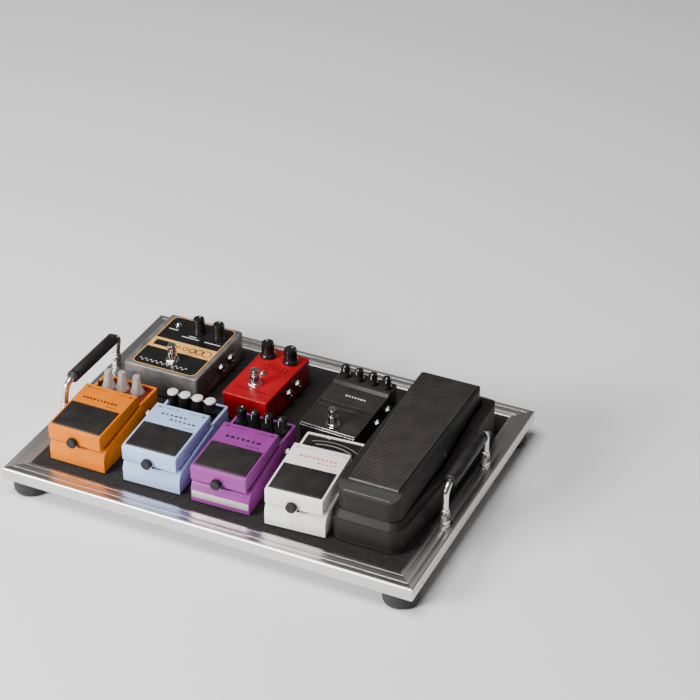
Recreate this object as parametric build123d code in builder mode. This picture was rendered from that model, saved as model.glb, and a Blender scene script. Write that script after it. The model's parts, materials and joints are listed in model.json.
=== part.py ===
"""Effects pedalboard: framed deck with folding handles, four compact pedals,
three switch pedals and a rocker (wah) pedal. Millimetres, +X along the width,
+Y to the rear, +Z up, origin on the floor under the middle of the board."""
import os
from math import cos, radians, sin

from build123d import *

os.makedirs("parts", exist_ok=True)

# ---- board ----
BOARD_W = 522.0
BOARD_D = 372.0
RAIL_W = 24.5
RAIL_H = 16.0
FOOT_R = 21.0
FOOT_H = 22.0
PLATE_T = 1.6
FOOT_IN = 23.3
RAIL_TOP = FOOT_H + RAIL_H
RAIL_BOT = FOOT_H
SLOT_LO = 3.4
SLOT_HI = 12.6
SLOT_IN = 19.0
PANEL_T = 9.0
CARPET_T = 1.5
CARPET_TOP = RAIL_BOT + SLOT_LO + 0.1 + PANEL_T + CARPET_T
PEDAL_Z = RAIL_TOP - 0.5

# ---- screws ----
SCREW_HEAD_R = 3.6
SCREW_HEAD_H = 2.2
SCREW_R = 2.0
SCREW_LEN = 14.4
HOLE_R = 2.06
FOOT_SCREW_Z = 10.0
PLATE_SCREWS = ((50.0, 12.0), (12.0, 50.0))

# ---- folding handles ----
HANDLE_IN = 12.8
HANDLE_Y0 = 119.0
HANDLE_Y1 = 239.7
HANDLE_TOP = RAIL_TOP + 51.9
HANDLE_PIVOT = RAIL_TOP + 13.2
ROD_R = 4.0
BEND_R = 13.0
GRIP_R = 7.8
GRIP_IN = 12.5
PIN_R = 1.4
PIN_HOLE_R = 1.46
LEFT_LEAN = 9.0

# ---- compact pedals ----
CW = 73.0
CL = 128.0
CASE_Z0 = 1.2
HINGE_Y = 80.0
HINGE_Z = 45.0
TREAD_X0 = 2.1
TREAD_X1 = 70.9
KNOB_SHAFT_R = 3.0
KNOB_BORE_R = 3.06
PANEL_Z = 35.5

# ---- pedal places: front-left base corner from the board's front-left corner, and turn ----
SPOTS = {
    "distortion": (42.6, 40.0, 0.1),
    "chorus": (141.3, 39.6, 1.7),
    "flanger": (230.9, 39.0, 1.7),
    "tuner": (325.9, 36.2, 3.7),
    "echo": (44.7, 206.4, -0.1),
    "compressor": (184.3, 201.3, -1.6),
    "stomp": (293.0, 189.0, -2.5),
    "wah": (444.0, 46.0, 0.0),
}
COMPACTS = ("distortion", "chorus", "flanger", "tuner")


def spot(name):
    """Location of a pedal's own frame: front-left base corner, z on its base."""
    x, y, turn = SPOTS[name]
    return Location((x - BOARD_W / 2, y - BOARD_D / 2, PEDAL_Z), (0, 0, turn))


def at(name, x, y, z=0.0):
    """Location of a point given in a pedal's own frame."""
    return spot(name) * Location((x, y, z))


def side_prism(place, x0, x1, pts, mode=Mode.ADD):
    """Extrude a (length, height) outline from x0 to x1 across a pedal."""
    base = Plane(place * Location((x0, 0, 0)))
    plane = Plane(origin=base.origin, x_dir=base.y_dir, z_dir=base.x_dir)
    with BuildSketch(plane) as outline:
        with BuildLine():
            Polyline(*pts, close=True)
        make_face()
    extrude(outline.sketch, amount=x1 - x0, mode=mode)


def box(place, x0, x1, y0, y1, z0, z1, mode=Mode.ADD):
    """Axis-aligned box in a pedal's own frame."""
    with Locations(place * Location(((x0 + x1) / 2, (y0 + y1) / 2, (z0 + z1) / 2))):
        Box(x1 - x0, y1 - y0, z1 - z0, mode=mode)


def rounded(place, x0, x1, y0, y1, z0, z1, r, mode=Mode.ADD):
    """Box with rounded upright corners."""
    plane = Plane(place * Location(((x0 + x1) / 2, (y0 + y1) / 2, z0)))
    with BuildSketch(plane) as outline:
        RectangleRounded(x1 - x0, y1 - y0, r)
    extrude(outline.sketch, amount=z1 - z0, mode=mode)


def disc(place, x, y, z0, z1, r, mode=Mode.ADD):
    """Upright cylinder in a pedal's own frame."""
    with Locations(place * Location((x, y, z0))):
        Cylinder(r, z1 - z0, align=(Align.CENTER, Align.CENTER, Align.MIN), mode=mode)


def taper(place, x, y, z0, z1, r0, r1):
    """Upright cone frustum in a pedal's own frame."""
    with Locations(place * Location((x, y, z0))):
        Cone(r0, r1, z1 - z0, align=(Align.CENTER, Align.CENTER, Align.MIN))


def cross_rod(place, x0, x1, y, z, r, mode=Mode.ADD):
    """Cylinder along a pedal's own x."""
    with Locations(place * Location((x0, y, z), (0, 90, 0))):
        Cylinder(r, x1 - x0, align=(Align.CENTER, Align.CENTER, Align.MIN), mode=mode)


def long_rod(place, x, y0, y1, z, r, mode=Mode.ADD):
    """Cylinder along a pedal's own y."""
    with Locations(place * Location((x, y0, z), (-90, 0, 0))):
        Cylinder(r, y1 - y0, align=(Align.CENTER, Align.CENTER, Align.MIN), mode=mode)


def save(name, builder):
    """Label one node and write it out."""
    part = getattr(builder, "part", builder)
    part.label = name
    export_step(part, "parts/" + name + ".step")


# ================= frame rails =================
def rail(place, length):
    """One mitred extrusion: its own x runs along the rail, y inward, z up from its base."""
    base = Plane(place)
    plane = Plane(origin=base.origin, x_dir=base.y_dir, z_dir=base.x_dir)
    with BuildSketch(plane) as outline:
        with BuildLine():
            Polyline((3.4, RAIL_H), (8.4, RAIL_H), (8.4, 15.4), (9.3, 15.4), (9.3, RAIL_H), (18.2, RAIL_H),
                     (18.2, 15.3), (19.1, 15.3), (19.1, 15.8), (RAIL_W, 14.5), (RAIL_W, SLOT_HI),
                     (SLOT_IN, SLOT_HI), (SLOT_IN, SLOT_LO), (RAIL_W, SLOT_LO), (RAIL_W, 0), (0.8, 0),
                     (0, 0.8), (0, 12.6))
            RadiusArc((0, 12.6), (3.4, RAIL_H), 3.4)
        make_face()
    extrude(outline.sketch, amount=length)
    gap = 0.05
    for end in (0, 1):
        x0 = 0.0 if end == 0 else length
        s = 1 if end == 0 else -1
        with BuildSketch(Plane(place * Location((0, 0, -1)))) as corner:
            with BuildLine():
                Polyline((x0 - s * 2, -2), (x0 - s * 2 + s * gap, -2), (x0 + s * (RAIL_W + 2 + gap), RAIL_W + 2),
                         (x0 - s * 2, RAIL_W + 2), close=True)
            make_face()
        extrude(corner.sketch, amount=RAIL_H + 2, mode=Mode.SUBTRACT)
        for u, w in PLATE_SCREWS + ((FOOT_IN, FOOT_IN),):
            if w < RAIL_W:
                with Locations(place * Location((x0 + s * u, w, -1))):
                    Cylinder(HOLE_R, 14.2, align=(Align.CENTER, Align.CENTER, Align.MIN), mode=Mode.SUBTRACT)


front_place = Location((-BOARD_W / 2, -BOARD_D / 2, RAIL_BOT))
rear_place = Location((BOARD_W / 2, BOARD_D / 2, RAIL_BOT), (0, 0, 180))
left_place = Location((-BOARD_W / 2, BOARD_D / 2, RAIL_BOT), (0, 0, -90))
right_place = Location((BOARD_W / 2, -BOARD_D / 2, RAIL_BOT), (0, 0, 90))

with BuildPart() as front_rail:
    rail(front_place, BOARD_W)
save("front_rail", front_rail)

with BuildPart() as rear_rail:
    rail(rear_place, BOARD_W)
save("rear_rail", rear_rail)

with BuildPart() as left_rail:
    rail(left_place, BOARD_D)
save("left_rail", left_rail)

with BuildPart() as right_rail:
    rail(right_place, BOARD_D)
save("right_rail", right_rail)

board = Location((-BOARD_W / 2, -BOARD_D / 2, 0))
with BuildPart() as deck_panel:
    m = SLOT_IN + 0.3
    box(board, m, BOARD_W - m, m, BOARD_D - m, RAIL_BOT + SLOT_LO + 0.1, RAIL_BOT + SLOT_LO + 0.1 + PANEL_T)
save("deck_panel", deck_panel)

with BuildPart() as deck_carpet:
    m = RAIL_W + 0.3
    box(board, m, BOARD_W - m, m, BOARD_D - RAIL_W - 4.5, CARPET_TOP - CARPET_T + 0.02, CARPET_TOP)
save("deck_carpet", deck_carpet)

# ================= corners: plates, feet, screws =================
CORNERS = []
for sx in (-1, 1):
    for sy in (-1, 1):
        CORNERS.append((sx, sy))


def corner_xy(sx, sy, u, w):
    """A point u in from the side and w in from the front or rear at one corner."""
    return (sx * (BOARD_W / 2 - u), sy * (BOARD_D / 2 - w))


with BuildPart() as corner_plates:
    for sx, sy in CORNERS:
        lo = RAIL_BOT - PLATE_T
        for u, w in ((60.0, 22.0), (22.0, 60.0)):
            x0, y0 = corner_xy(sx, sy, 2.0, 2.0)
            x1, y1 = corner_xy(sx, sy, u, w)
            with Locations(((x0 + x1) / 2, (y0 + y1) / 2, lo + (PLATE_T - 0.02) / 2)):
                Box(abs(x1 - x0), abs(y1 - y0), PLATE_T - 0.02)
        with Locations((*corner_xy(sx, sy, 22.0, 22.0), lo + (PLATE_T - 0.02) / 2)):
            Box(40, 40, PLATE_T - 0.02)
        for u, w in PLATE_SCREWS + ((FOOT_IN, FOOT_IN),):
            with Locations((*corner_xy(sx, sy, u, w), lo)):
                Cylinder(HOLE_R, 8, mode=Mode.SUBTRACT)
save("corner_plates", corner_plates)

with BuildPart() as rubber_feet:
    for sx, sy in CORNERS:
        with Locations((*corner_xy(sx, sy, FOOT_IN, FOOT_IN), 0)):
            Cylinder(FOOT_R, FOOT_H - PLATE_T - 0.05, align=(Align.CENTER, Align.CENTER, Align.MIN))
    fillet(rubber_feet.edges().filter_by(GeomType.CIRCLE).group_by(Axis.Z)[0], 5.0)
    for sx, sy in CORNERS:
        with Locations((*corner_xy(sx, sy, FOOT_IN, FOOT_IN), 0)):
            Cylinder(6.0, FOOT_SCREW_Z, align=(Align.CENTER, Align.CENTER, Align.MIN), mode=Mode.SUBTRACT)
            Cylinder(HOLE_R, FOOT_H, align=(Align.CENTER, Align.CENTER, Align.MIN), mode=Mode.SUBTRACT)
save("rubber_feet", rubber_feet)

with BuildPart() as board_screws:
    for sx, sy in CORNERS:
        heads = [(PLATE_SCREWS[0], RAIL_BOT - PLATE_T - 0.02), (PLATE_SCREWS[1], RAIL_BOT - PLATE_T - 0.02),
                 ((FOOT_IN, FOOT_IN), FOOT_SCREW_Z)]
        for (u, w), top in heads:
            with Locations((*corner_xy(sx, sy, u, w), top)):
                Cylinder(SCREW_HEAD_R, SCREW_HEAD_H, align=(Align.CENTER, Align.CENTER, Align.MAX))
                Cylinder(SCREW_R, SCREW_LEN, align=(Align.CENTER, Align.CENTER, Align.MIN))
            with Locations((*corner_xy(sx, sy, u, w), top - SCREW_HEAD_H)):
                Box(4.4, 0.9, 1.6, mode=Mode.SUBTRACT)
                Box(0.9, 4.4, 1.6, mode=Mode.SUBTRACT)
save("board_screws", board_screws)

# ================= folding handles =================
HANDLE_XS = {"left": -BOARD_W / 2 + HANDLE_IN, "right": BOARD_W / 2 - HANDLE_IN}
HANDLE_YS = (HANDLE_Y0 - BOARD_D / 2, HANDLE_Y1 - BOARD_D / 2)

with BuildPart() as handle_mounts:
    for hx in HANDLE_XS.values():
        for hy in HANDLE_YS:
            foot = Location((hx, hy, RAIL_TOP + 0.02))
            disc(foot, 0, 0, 0, 3.6, 6.3)
            disc(foot, 0, 0, 3.6, 5.0, 4.8)
            disc(foot, 0, 0, 5.0, 8.6, 6.3)
            for s in (-1, 1):
                ear = foot * Location((0, s * 5.3, 0))
                box(ear, -3.4, 3.4, -0.9, 0.9, 8.6, 13.2)
                long_rod(ear, 0, -0.9, 0.9, 13.2, 3.4)
            long_rod(foot, 0, -6.3, 6.3, 13.2, PIN_R + 0.02, mode=Mode.SUBTRACT)
save("handle_mounts", handle_mounts)


def handle_bar(hx):
    """Bent rod with a flat eye at each foot."""
    y0, y1 = HANDLE_YS
    z0 = HANDLE_PIVOT + 5.2
    with BuildLine(Plane(origin=(hx, 0, 0), x_dir=(0, 1, 0), z_dir=(1, 0, 0))) as path:
        FilletPolyline((y0, z0), (y0, HANDLE_TOP), (y1, HANDLE_TOP), (y1, z0), radius=BEND_R)
    with BuildSketch(Plane(origin=(hx, y0, z0), z_dir=(0, 0, 1))) as section:
        Circle(ROD_R)
    sweep(section.sketch, path=path.line)
    for hy in HANDLE_YS:
        eye = Location((hx, hy, HANDLE_PIVOT))
        long_rod(eye, 0, -3.9, 3.9, 0, 3.6)
        box(eye, -3.6, 3.6, -3.9, 3.9, 0, 6.6)
        disc(eye, 0, 0, 6.5, 9.2, 4.9)
        long_rod(eye, 0, -5, 5, 0, PIN_HOLE_R, mode=Mode.SUBTRACT)


def handle_grip(hx):
    """Rubber sleeve along the rod's straight top."""
    y0, y1 = HANDLE_YS
    top = Location((hx, 0, HANDLE_TOP))
    long_rod(top, 0, y0 + GRIP_IN, y1 - GRIP_IN, 0, GRIP_R)
    chamfer(top_edges(), 1.2)
    long_rod(top, 0, y0 + GRIP_IN - 1, y1 - GRIP_IN + 1, 0, ROD_R + 0.02, mode=Mode.SUBTRACT)


def top_edges():
    """Round edges of the part being built."""
    return BuildPart._get_context().edges().filter_by(GeomType.CIRCLE)


def leant(builder):
    """The left handle rests a little inward of upright, turned about its pins."""
    hinge = Location((HANDLE_XS["left"], 0, HANDLE_PIVOT))
    return (hinge * Location((0, 0, 0), (0, LEFT_LEAN, 0)) * hinge.inverse()) * builder.part


with BuildPart() as left_handle_bar:
    handle_bar(HANDLE_XS["left"])
save("left_handle_bar", leant(left_handle_bar))

with BuildPart() as left_handle_grip:
    handle_grip(HANDLE_XS["left"])
save("left_handle_grip", leant(left_handle_grip))

with BuildPart() as right_handle_bar:
    handle_bar(HANDLE_XS["right"])
save("right_handle_bar", right_handle_bar)

with BuildPart() as right_handle_grip:
    handle_grip(HANDLE_XS["right"])
save("right_handle_grip", right_handle_grip)

# ================= knobs, switches, sockets: where they are =================
KNOBS = {
    "distortion": ((14.2, 113.0), (31.4, 116.0), (51.5, 116.2)),
    "chorus": ((10.6, 107.5), (27.0, 107.5), (43.4, 107.5), (60.0, 107.5)),
    "flanger": ((10.4, 112.0), (27.7, 112.0), (45.0, 112.0), (62.4, 112.0)),
    "echo": ((54.0, 95.0), (82.5, 94.0)),
    "compressor": ((12.5, 92.5), (44.0, 92.5)),
    "stomp": ((10.4, 99.5), (28.8, 99.5), (47.4, 99.5), (65.6, 99.5)),
}
# panel height, shaft top
KNOB_Z = {
    "distortion": (PANEL_Z, 50.0),
    "chorus": (PANEL_Z, 52.0),
    "flanger": (PANEL_Z, 52.0),
    "echo": (38.3, 52.0),
    "compressor": (36.6, 50.0),
    "stomp": (41.0, 50.0),
}
# switch pedals: place, top of the case, top of the threaded bushing, top of the button
SWITCHES = {
    "echo": (54.5, 26.0, 38.3, 52.0, 62.0),
    "compressor": (28.0, 31.0, 36.6, 50.0, 58.0),
    "stomp": (39.0, 12.0, 32.86, 46.0, 56.0),
}


def shafts(name):
    """Control shafts standing on a pedal's panel."""
    z0, z1 = KNOB_Z[name]
    for x, y in KNOBS[name]:
        disc(spot(name), x, y, z0 - 0.5, z1, KNOB_SHAFT_R)


# ================= compact pedals =================
# socket centres on a compact's two sides: length and height
JACK_Y = 101.0
JACK_Z = 21.0
JACK_R = 3.2
JACK_TUBE_R = 5.0


def compact_case(name):
    """Cast case: low front, raised side walls round the rear panel, open underneath."""
    here = spot(name)
    side_prism(here, 0, CW, [(0, CASE_Z0), (0, 18.5), (3.5, 25.5), (9, 28), (90, 38.5), (90, CASE_Z0)])
    rounded(here, 0, CW, 60, CL, CASE_Z0, 34.0, 3.0)
    rounded(here, 0, CW, 87, CL, 30.0, 42.0, 3.0)
    box(here, 3.0, CW - 3.0, 86, CL - 3.0, PANEL_Z, 43, mode=Mode.SUBTRACT)
    side_prism(here, 3.0, CW - 3.0, [(3, 0), (3, 17.5), (6, 23), (10.5, 25), (88, 32.5), (CL - 3, 32.5), (CL - 3, 0)],
               mode=Mode.SUBTRACT)
    for x in (15.0, 52.0):
        side_prism(here, x, x + 6, [(73, 31), (76, 49.5), (83, 49.5), (83, 31)])
    cross_rod(here, 10, 64, HINGE_Y, HINGE_Z, 1.52, mode=Mode.SUBTRACT)
    disc(here, CW / 2, 34.0, 29.0, 43.5, 5.0)
    for x in (-1.0, CW - 4.0):
        cross_rod(here, x, x + 5, JACK_Y, JACK_Z, JACK_TUBE_R + 0.05, mode=Mode.SUBTRACT)


def tread_top(y):
    """Height of a compact treadle's top at length y."""
    return 51.9 + (y - 0.2) * (55.9 - 51.9) / (84.5 - 0.2)


def compact_treadle(name):
    """Pressed shell over the case's front, with the thumbscrew that locks it."""
    here = spot(name)
    side_prism(here, TREAD_X0, TREAD_X1, [(-2.4, 33.0), (-2.4, 49.6), (0.2, 51.9), (84.5, 55.9), (86, 54.4), (86, 41.5)])
    side_prism(here, TREAD_X0 + 2.3, TREAD_X1 - 2.3, [(0.8, 30), (0.8, 48.8), (83.8, 52.7), (83.8, 30)],
               mode=Mode.SUBTRACT)
    cross_rod(here, 0, CW, HINGE_Y, HINGE_Z, 1.56, mode=Mode.SUBTRACT)
    long_rod(here, 35.0, -4, 3, 36.6, 2.05, mode=Mode.SUBTRACT)
    long_rod(here, 35.0, -9.0, -2.6, 36.6, 6.2)
    long_rod(here, 35.0, -3.0, 5.0, 36.6, 1.98)


def compact_pad(name):
    """Rubber pad on the front half of the treadle."""
    here = spot(name)
    lift = 0.02
    side_prism(here, TREAD_X0 + 2.6, TREAD_X1 - 2.6, [(1.2, tread_top(1.2) + lift), (2.4, tread_top(2.4) + 1.4),
               (46.6, tread_top(46.6) + 1.4), (47.2, tread_top(47.2) + lift)])


with BuildPart() as distortion_case:
    compact_case("distortion")
    shafts("distortion")
save("distortion_case", distortion_case)

with BuildPart() as distortion_treadle:
    compact_treadle("distortion")
save("distortion_treadle", distortion_treadle)

with BuildPart() as distortion_pad:
    compact_pad("distortion")
save("distortion_pad", distortion_pad)

with BuildPart() as chorus_case:
    compact_case("chorus")
    shafts("chorus")
save("chorus_case", chorus_case)

with BuildPart() as chorus_treadle:
    compact_treadle("chorus")
save("chorus_treadle", chorus_treadle)

with BuildPart() as chorus_pad:
    compact_pad("chorus")
save("chorus_pad", chorus_pad)

with BuildPart() as flanger_case:
    compact_case("flanger")
    shafts("flanger")
save("flanger_case", flanger_case)

with BuildPart() as flanger_treadle:
    compact_treadle("flanger")
save("flanger_treadle", flanger_treadle)

with BuildPart() as flanger_pad:
    compact_pad("flanger")
save("flanger_pad", flanger_pad)

with BuildPart() as tuner_case:
    compact_case("tuner")
save("tuner_case", tuner_case)

with BuildPart() as tuner_treadle:
    compact_treadle("tuner")
save("tuner_treadle", tuner_treadle)

with BuildPart() as tuner_pad:
    compact_pad("tuner")
save("tuner_pad", tuner_pad)

with BuildPart() as tuner_display:
    side_prism(spot("tuner"), 3.3, CW - 3.3, [(87.2, PANEL_Z + 0.02), (87.2, 40.5), (94, 43.5), (119, 44.5), (124.6, 42),
               (124.6, PANEL_Z + 0.02)])
save("tuner_display", tuner_display)

# ================= switch pedals =================
ECHO_W = 102.0
ECHO_L = 121.0
ECHO_H = 38.3


def plain_case(name, width, length, height, wall, r, edge):
    """Box case, rounded corners and top edge, open underneath."""
    here = spot(name)
    rounded(here, 0, width, 0, length, CASE_Z0, height, r)
    ctx = BuildPart._get_context()
    fillet(ctx.edges().group_by(Axis.Z)[-1], edge)
    rounded(here, wall, width - wall, wall, length - wall, CASE_Z0 - 1, height - wall, max(r - wall, 1.0),
            mode=Mode.SUBTRACT)


def socket_holes(name, x_side, spots):
    """Clearance holes through a side wall for the sockets."""
    for y, z in spots:
        cross_rod(spot(name), x_side - 5, x_side + 5, y, z, JACK_TUBE_R + 0.05, mode=Mode.SUBTRACT)


ECHO_JACKS = ((60.0, 20.0), (84.0, 20.0))
with BuildPart() as echo_case:
    plain_case("echo", ECHO_W, ECHO_L, ECHO_H, 2.4, 4.0, 2.0)
    shafts("echo")
    socket_holes("echo", ECHO_W, ECHO_JACKS)
    disc(spot("echo"), SWITCHES["echo"][0], SWITCHES["echo"][1], 30, 50, 5.9, mode=Mode.SUBTRACT)
    disc(spot("echo"), 22.0, 99.0, 30, 50, 3.1, mode=Mode.SUBTRACT)
save("echo_case", echo_case)

COMP_W = 60.5
COMP_L = 111.0
COMP_H = 36.6
COMP_JACKS = ((55.0, 18.0), (77.0, 18.0))
with BuildPart() as compressor_case:
    plain_case("compressor", COMP_W, COMP_L, COMP_H, 2.2, 2.2, 1.2)
    shafts("compressor")
    socket_holes("compressor", COMP_W, COMP_JACKS)
    disc(spot("compressor"), SWITCHES["compressor"][0], SWITCHES["compressor"][1], 30, 50, 5.9, mode=Mode.SUBTRACT)
    disc(spot("compressor"), 25.0, 55.0, 30, 50, 3.1, mode=Mode.SUBTRACT)
save("compressor_case", compressor_case)

STOMP_W = 74.5
STOMP_L = 112.0
STOMP_JACKS = ((55.0, 19.0), (83.0, 21.0))


def stomp_top(y):
    """Height of the stomp pedal's sloping top at length y."""
    return 32.0 + y * 6.0 / 84.0


with BuildPart() as stomp_case:
    here = spot("stomp")
    rounded(here, 0, STOMP_W, 0, STOMP_L, CASE_Z0, 41.0, 4.0)
    side_prism(here, -1, STOMP_W + 1, [(-1, stomp_top(-1)), (84, stomp_top(84)), (88, 41.0), (88, 45), (-1, 45)],
               mode=Mode.SUBTRACT)
    side_prism(here, -1, STOMP_W + 1, [(-1, 29.5), (2.2, 33.5), (-1, 33.5)], mode=Mode.SUBTRACT)
    for y in (37.5, 46.0):
        side_prism(here, 3, STOMP_W - 3, [(y, stomp_top(y) + 1), (y, stomp_top(y) - 0.8), (y + 6, stomp_top(y + 6) - 0.8),
                   (y + 6, stomp_top(y + 6) + 1)], mode=Mode.SUBTRACT)
    side_prism(here, 2.6, STOMP_W - 2.6, [(2.6, 0), (2.6, 28.5), (84, 34.6), (90, 38), (STOMP_L - 2.6, 38),
               (STOMP_L - 2.6, 0)], mode=Mode.SUBTRACT)
    shafts("stomp")
    socket_holes("stomp", STOMP_W, STOMP_JACKS)
    disc(here, SWITCHES["stomp"][0], SWITCHES["stomp"][1], 26, 50, 5.9, mode=Mode.SUBTRACT)
save("stomp_case", stomp_case)

# ================= hardware groups =================
SOCKETS = []
for pedal in COMPACTS:
    SOCKETS.append((pedal, CW, 1, JACK_Y, JACK_Z))
    SOCKETS.append((pedal, 0.0, -1, JACK_Y, JACK_Z))
for y, z in ECHO_JACKS:
    SOCKETS.append(("echo", ECHO_W, 1, y, z))
for y, z in COMP_JACKS:
    SOCKETS.append(("compressor", COMP_W, 1, y, z))
for y, z in STOMP_JACKS:
    SOCKETS.append(("stomp", STOMP_W, 1, y, z))

for x, s in ((53.4, 1), (-46.3, -1)):
    SOCKETS.append(("wah", x, s, 226.0, 20.0))

with BuildPart() as jack_sockets:
    for pedal, x, s, y, z in SOCKETS:
        turn = (0, 90, 0) if s > 0 else (0, -90, 0)
        mouth = spot(pedal) * Location((x, y, z), turn)
        with Locations(mouth * Location((0, 0, 0.02))):
            Cylinder(7.0, 1.0, align=(Align.CENTER, Align.CENTER, Align.MIN))
        with BuildSketch(Plane(mouth * Location((0, 0, 1.02)))) as nut:
            RegularPolygon(6.6, 6)
        extrude(nut.sketch, amount=2.0)
        with Locations(mouth * Location((0, 0, -8.0))):
            Cylinder(JACK_TUBE_R, 12.2, align=(Align.CENTER, Align.CENTER, Align.MIN))
        with Locations(mouth * Location((0, 0, -6.5))):
            Cylinder(JACK_R, 12.0, align=(Align.CENTER, Align.CENTER, Align.MIN), mode=Mode.SUBTRACT)
save("jack_sockets", jack_sockets)

with BuildPart() as switch_bushings:
    for pedal in SWITCHES:
        x, y, z0, z1, z2 = SWITCHES[pedal]
        here = spot(pedal)
        with BuildSketch(Plane(here * Location((x, y, z0 + 0.6)))) as nut:
            RegularPolygon(8.6, 6)
        extrude(nut.sketch, amount=3.2)
        disc(here, x, y, z0 + 0.02 + (0.7 if pedal == "stomp" else 0), z0 + 1.2, 9.0)
        disc(here, x, y, z0 - 9, z1, 5.8)
        disc(here, x, y, z0 - 9.5, z1 + 1, 4.4, mode=Mode.SUBTRACT)
save("switch_bushings", switch_bushings)

LEDS = (("echo", 22.0, 99.0, 34.0, 38.3, 42.3), ("compressor", 25.0, 55.0, 32.0, 36.6, 40.0))
POSTS = (("distortion", 60.5), ("chorus", 57.5), ("flanger", 58.5))
with BuildPart() as led_lenses:
    for pedal, x, y, z0, z1, z2 in LEDS:
        here = spot(pedal)
        disc(here, x, y, z0, z1 + 0.5, 3.0)
        disc(here, x, y, z1 + 0.02, z1 + 1.4, 4.6)
        taper(here, x, y, z1 + 1.4, z2, 3.0, 1.6)
    for pedal, z1 in POSTS:
        here = spot(pedal)
        disc(here, 16.0, 89.2, PANEL_Z + 0.02, z1 - 1.2, 1.6)
        taper(here, 16.0, 89.2, z1 - 1.2, z1, 1.6, 0.9)
save("led_lenses", led_lenses)

BASES = (("distortion", 0, CW, 0, CL), ("chorus", 0, CW, 0, CL), ("flanger", 0, CW, 0, CL), ("tuner", 0, CW, 0, CL),
         ("echo", 0, ECHO_W, 0, ECHO_L), ("compressor", 0, COMP_W, 0, COMP_L), ("stomp", 0, STOMP_W, 0, STOMP_L),
         ("wah", -44.0, 50.0, 4.0, 266.0))
PAD_LOW = CARPET_TOP - PEDAL_Z + 0.02
with BuildPart() as base_plates:
    for pedal, x0, x1, y0, y1 in BASES:
        r = 20.0 if pedal == "wah" else 2.5
        rounded(spot(pedal), x0 + 1.5, x1 - 1.5, y0 + 1.5, y1 - 1.5, PAD_LOW, CASE_Z0 - 0.02, r)
save("base_plates", base_plates)

# ================= wah (own frame: x from its middle) =================
WAH_L = 272.0
WAH_PIVOT_Y = 138.0
WAH_PIVOT_Z = 46.0
WT = 38.2
WAH_PLAN = ((-44.5, 0), (42.0, 0), (50.4, 95), (53.4, 190), (53.4, WAH_L), (-46.5, WAH_L))


def wah_plan(place, inset, z0, z1, r_front, r_rear, mode=Mode.ADD):
    """Extrude the base's outline, drawn in by inset."""
    pts = []
    for x, y in WAH_PLAN:
        px = x - inset if x > 0 else x + inset
        py = y + inset if y < 10 else (y - inset if y > 260 else y)
        pts.append((px, py))
    plane = Plane(place * Location((0, 0, z0)))
    with BuildSketch(plane) as outline:
        with BuildLine():
            Polyline(*pts, close=True)
        make_face()
        fillet(outline.vertices().sort_by(Axis.Y)[:2], r_front)
        fillet(outline.vertices().sort_by(Axis.Y)[-2:], r_rear)
    extrude(outline.sketch, amount=z1 - z0, mode=mode)


with BuildPart() as wah_shelf:
    here = spot("wah")
    wah_plan(here, 1.0, 20.0, 60.0, 15.0, 25.0)
    side_prism(here, -70, 70, [(-1, 29), (120, 33), (175, 43), (215, 49), (WAH_L - 14, 49), (WAH_L + 1, 40),
               (WAH_L + 1, 36.5), (WAH_L - 14, 45.5), (215, 45.5), (175, 39.5), (120, 29.5), (-1, 25.5)],
               mode=Mode.INTERSECT)
    rounded(here, -39.6, 39.6, -30.0, 256.8, 0.0, 70.0, 16.2, mode=Mode.SUBTRACT)

# sloping ledge round the front, just under the treadle's skirt
with BuildPart() as wah_plinth:
    here = spot("wah")
    with BuildSketch(Plane(here * Location((0, 0, 27.0)))) as outline:
        with BuildLine():
            Polyline((-43.9, 0.6), (41.4, 0.6), (49.8, 95.6), (50.6, 130.0), (-44.2, 130.0), close=True)
        make_face()
        fillet(outline.vertices().sort_by(Axis.Y)[:2], 15.4)
    extrude(outline.sketch, amount=11.4, taper=24)
    side_prism(here, -70, 70, [(80, 38.4), (124, 32.9), (124, 20), (140, 20), (140, 60), (80, 60)], mode=Mode.SUBTRACT)

with BuildPart() as wah_base:
    here = spot("wah")
    wah_plan(here, 0.0, CASE_Z0, 50.0, 16.0, 26.0)
    side_prism(here, -70, 70, [(-1, 29), (120, 33), (175, 43), (215, 49), (WAH_L - 14, 49), (WAH_L + 1, 40),
               (WAH_L + 1, 60), (-1, 60)], mode=Mode.SUBTRACT)
    wah_plan(here, 3.4, 4.0, 60.0, 13.0, 22.0, mode=Mode.SUBTRACT)
    add(wah_shelf.part)
    add(wah_plinth.part)
    rounded(here, -35.4, 35.4, 11.5, 205.0, 3.0, 36.0, 3.6)
    box(here, -35.4, 35.4, WAH_PIVOT_Y - 12, WAH_PIVOT_Y + 12, 30.0, 53.0)
    rounded(here, -32.8, 32.8, 14.5, 202.0, 4.0, 60.0, 1.2, mode=Mode.SUBTRACT)
    cross_rod(here, -38, 38, WAH_PIVOT_Y, WAH_PIVOT_Z, 3.02, mode=Mode.SUBTRACT)
    for x in (53.4, -46.3):
        cross_rod(here, x - 8, x + 6, 226.0, 20.0, 5.05, mode=Mode.SUBTRACT)
save("wah_base", wah_base)

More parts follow.
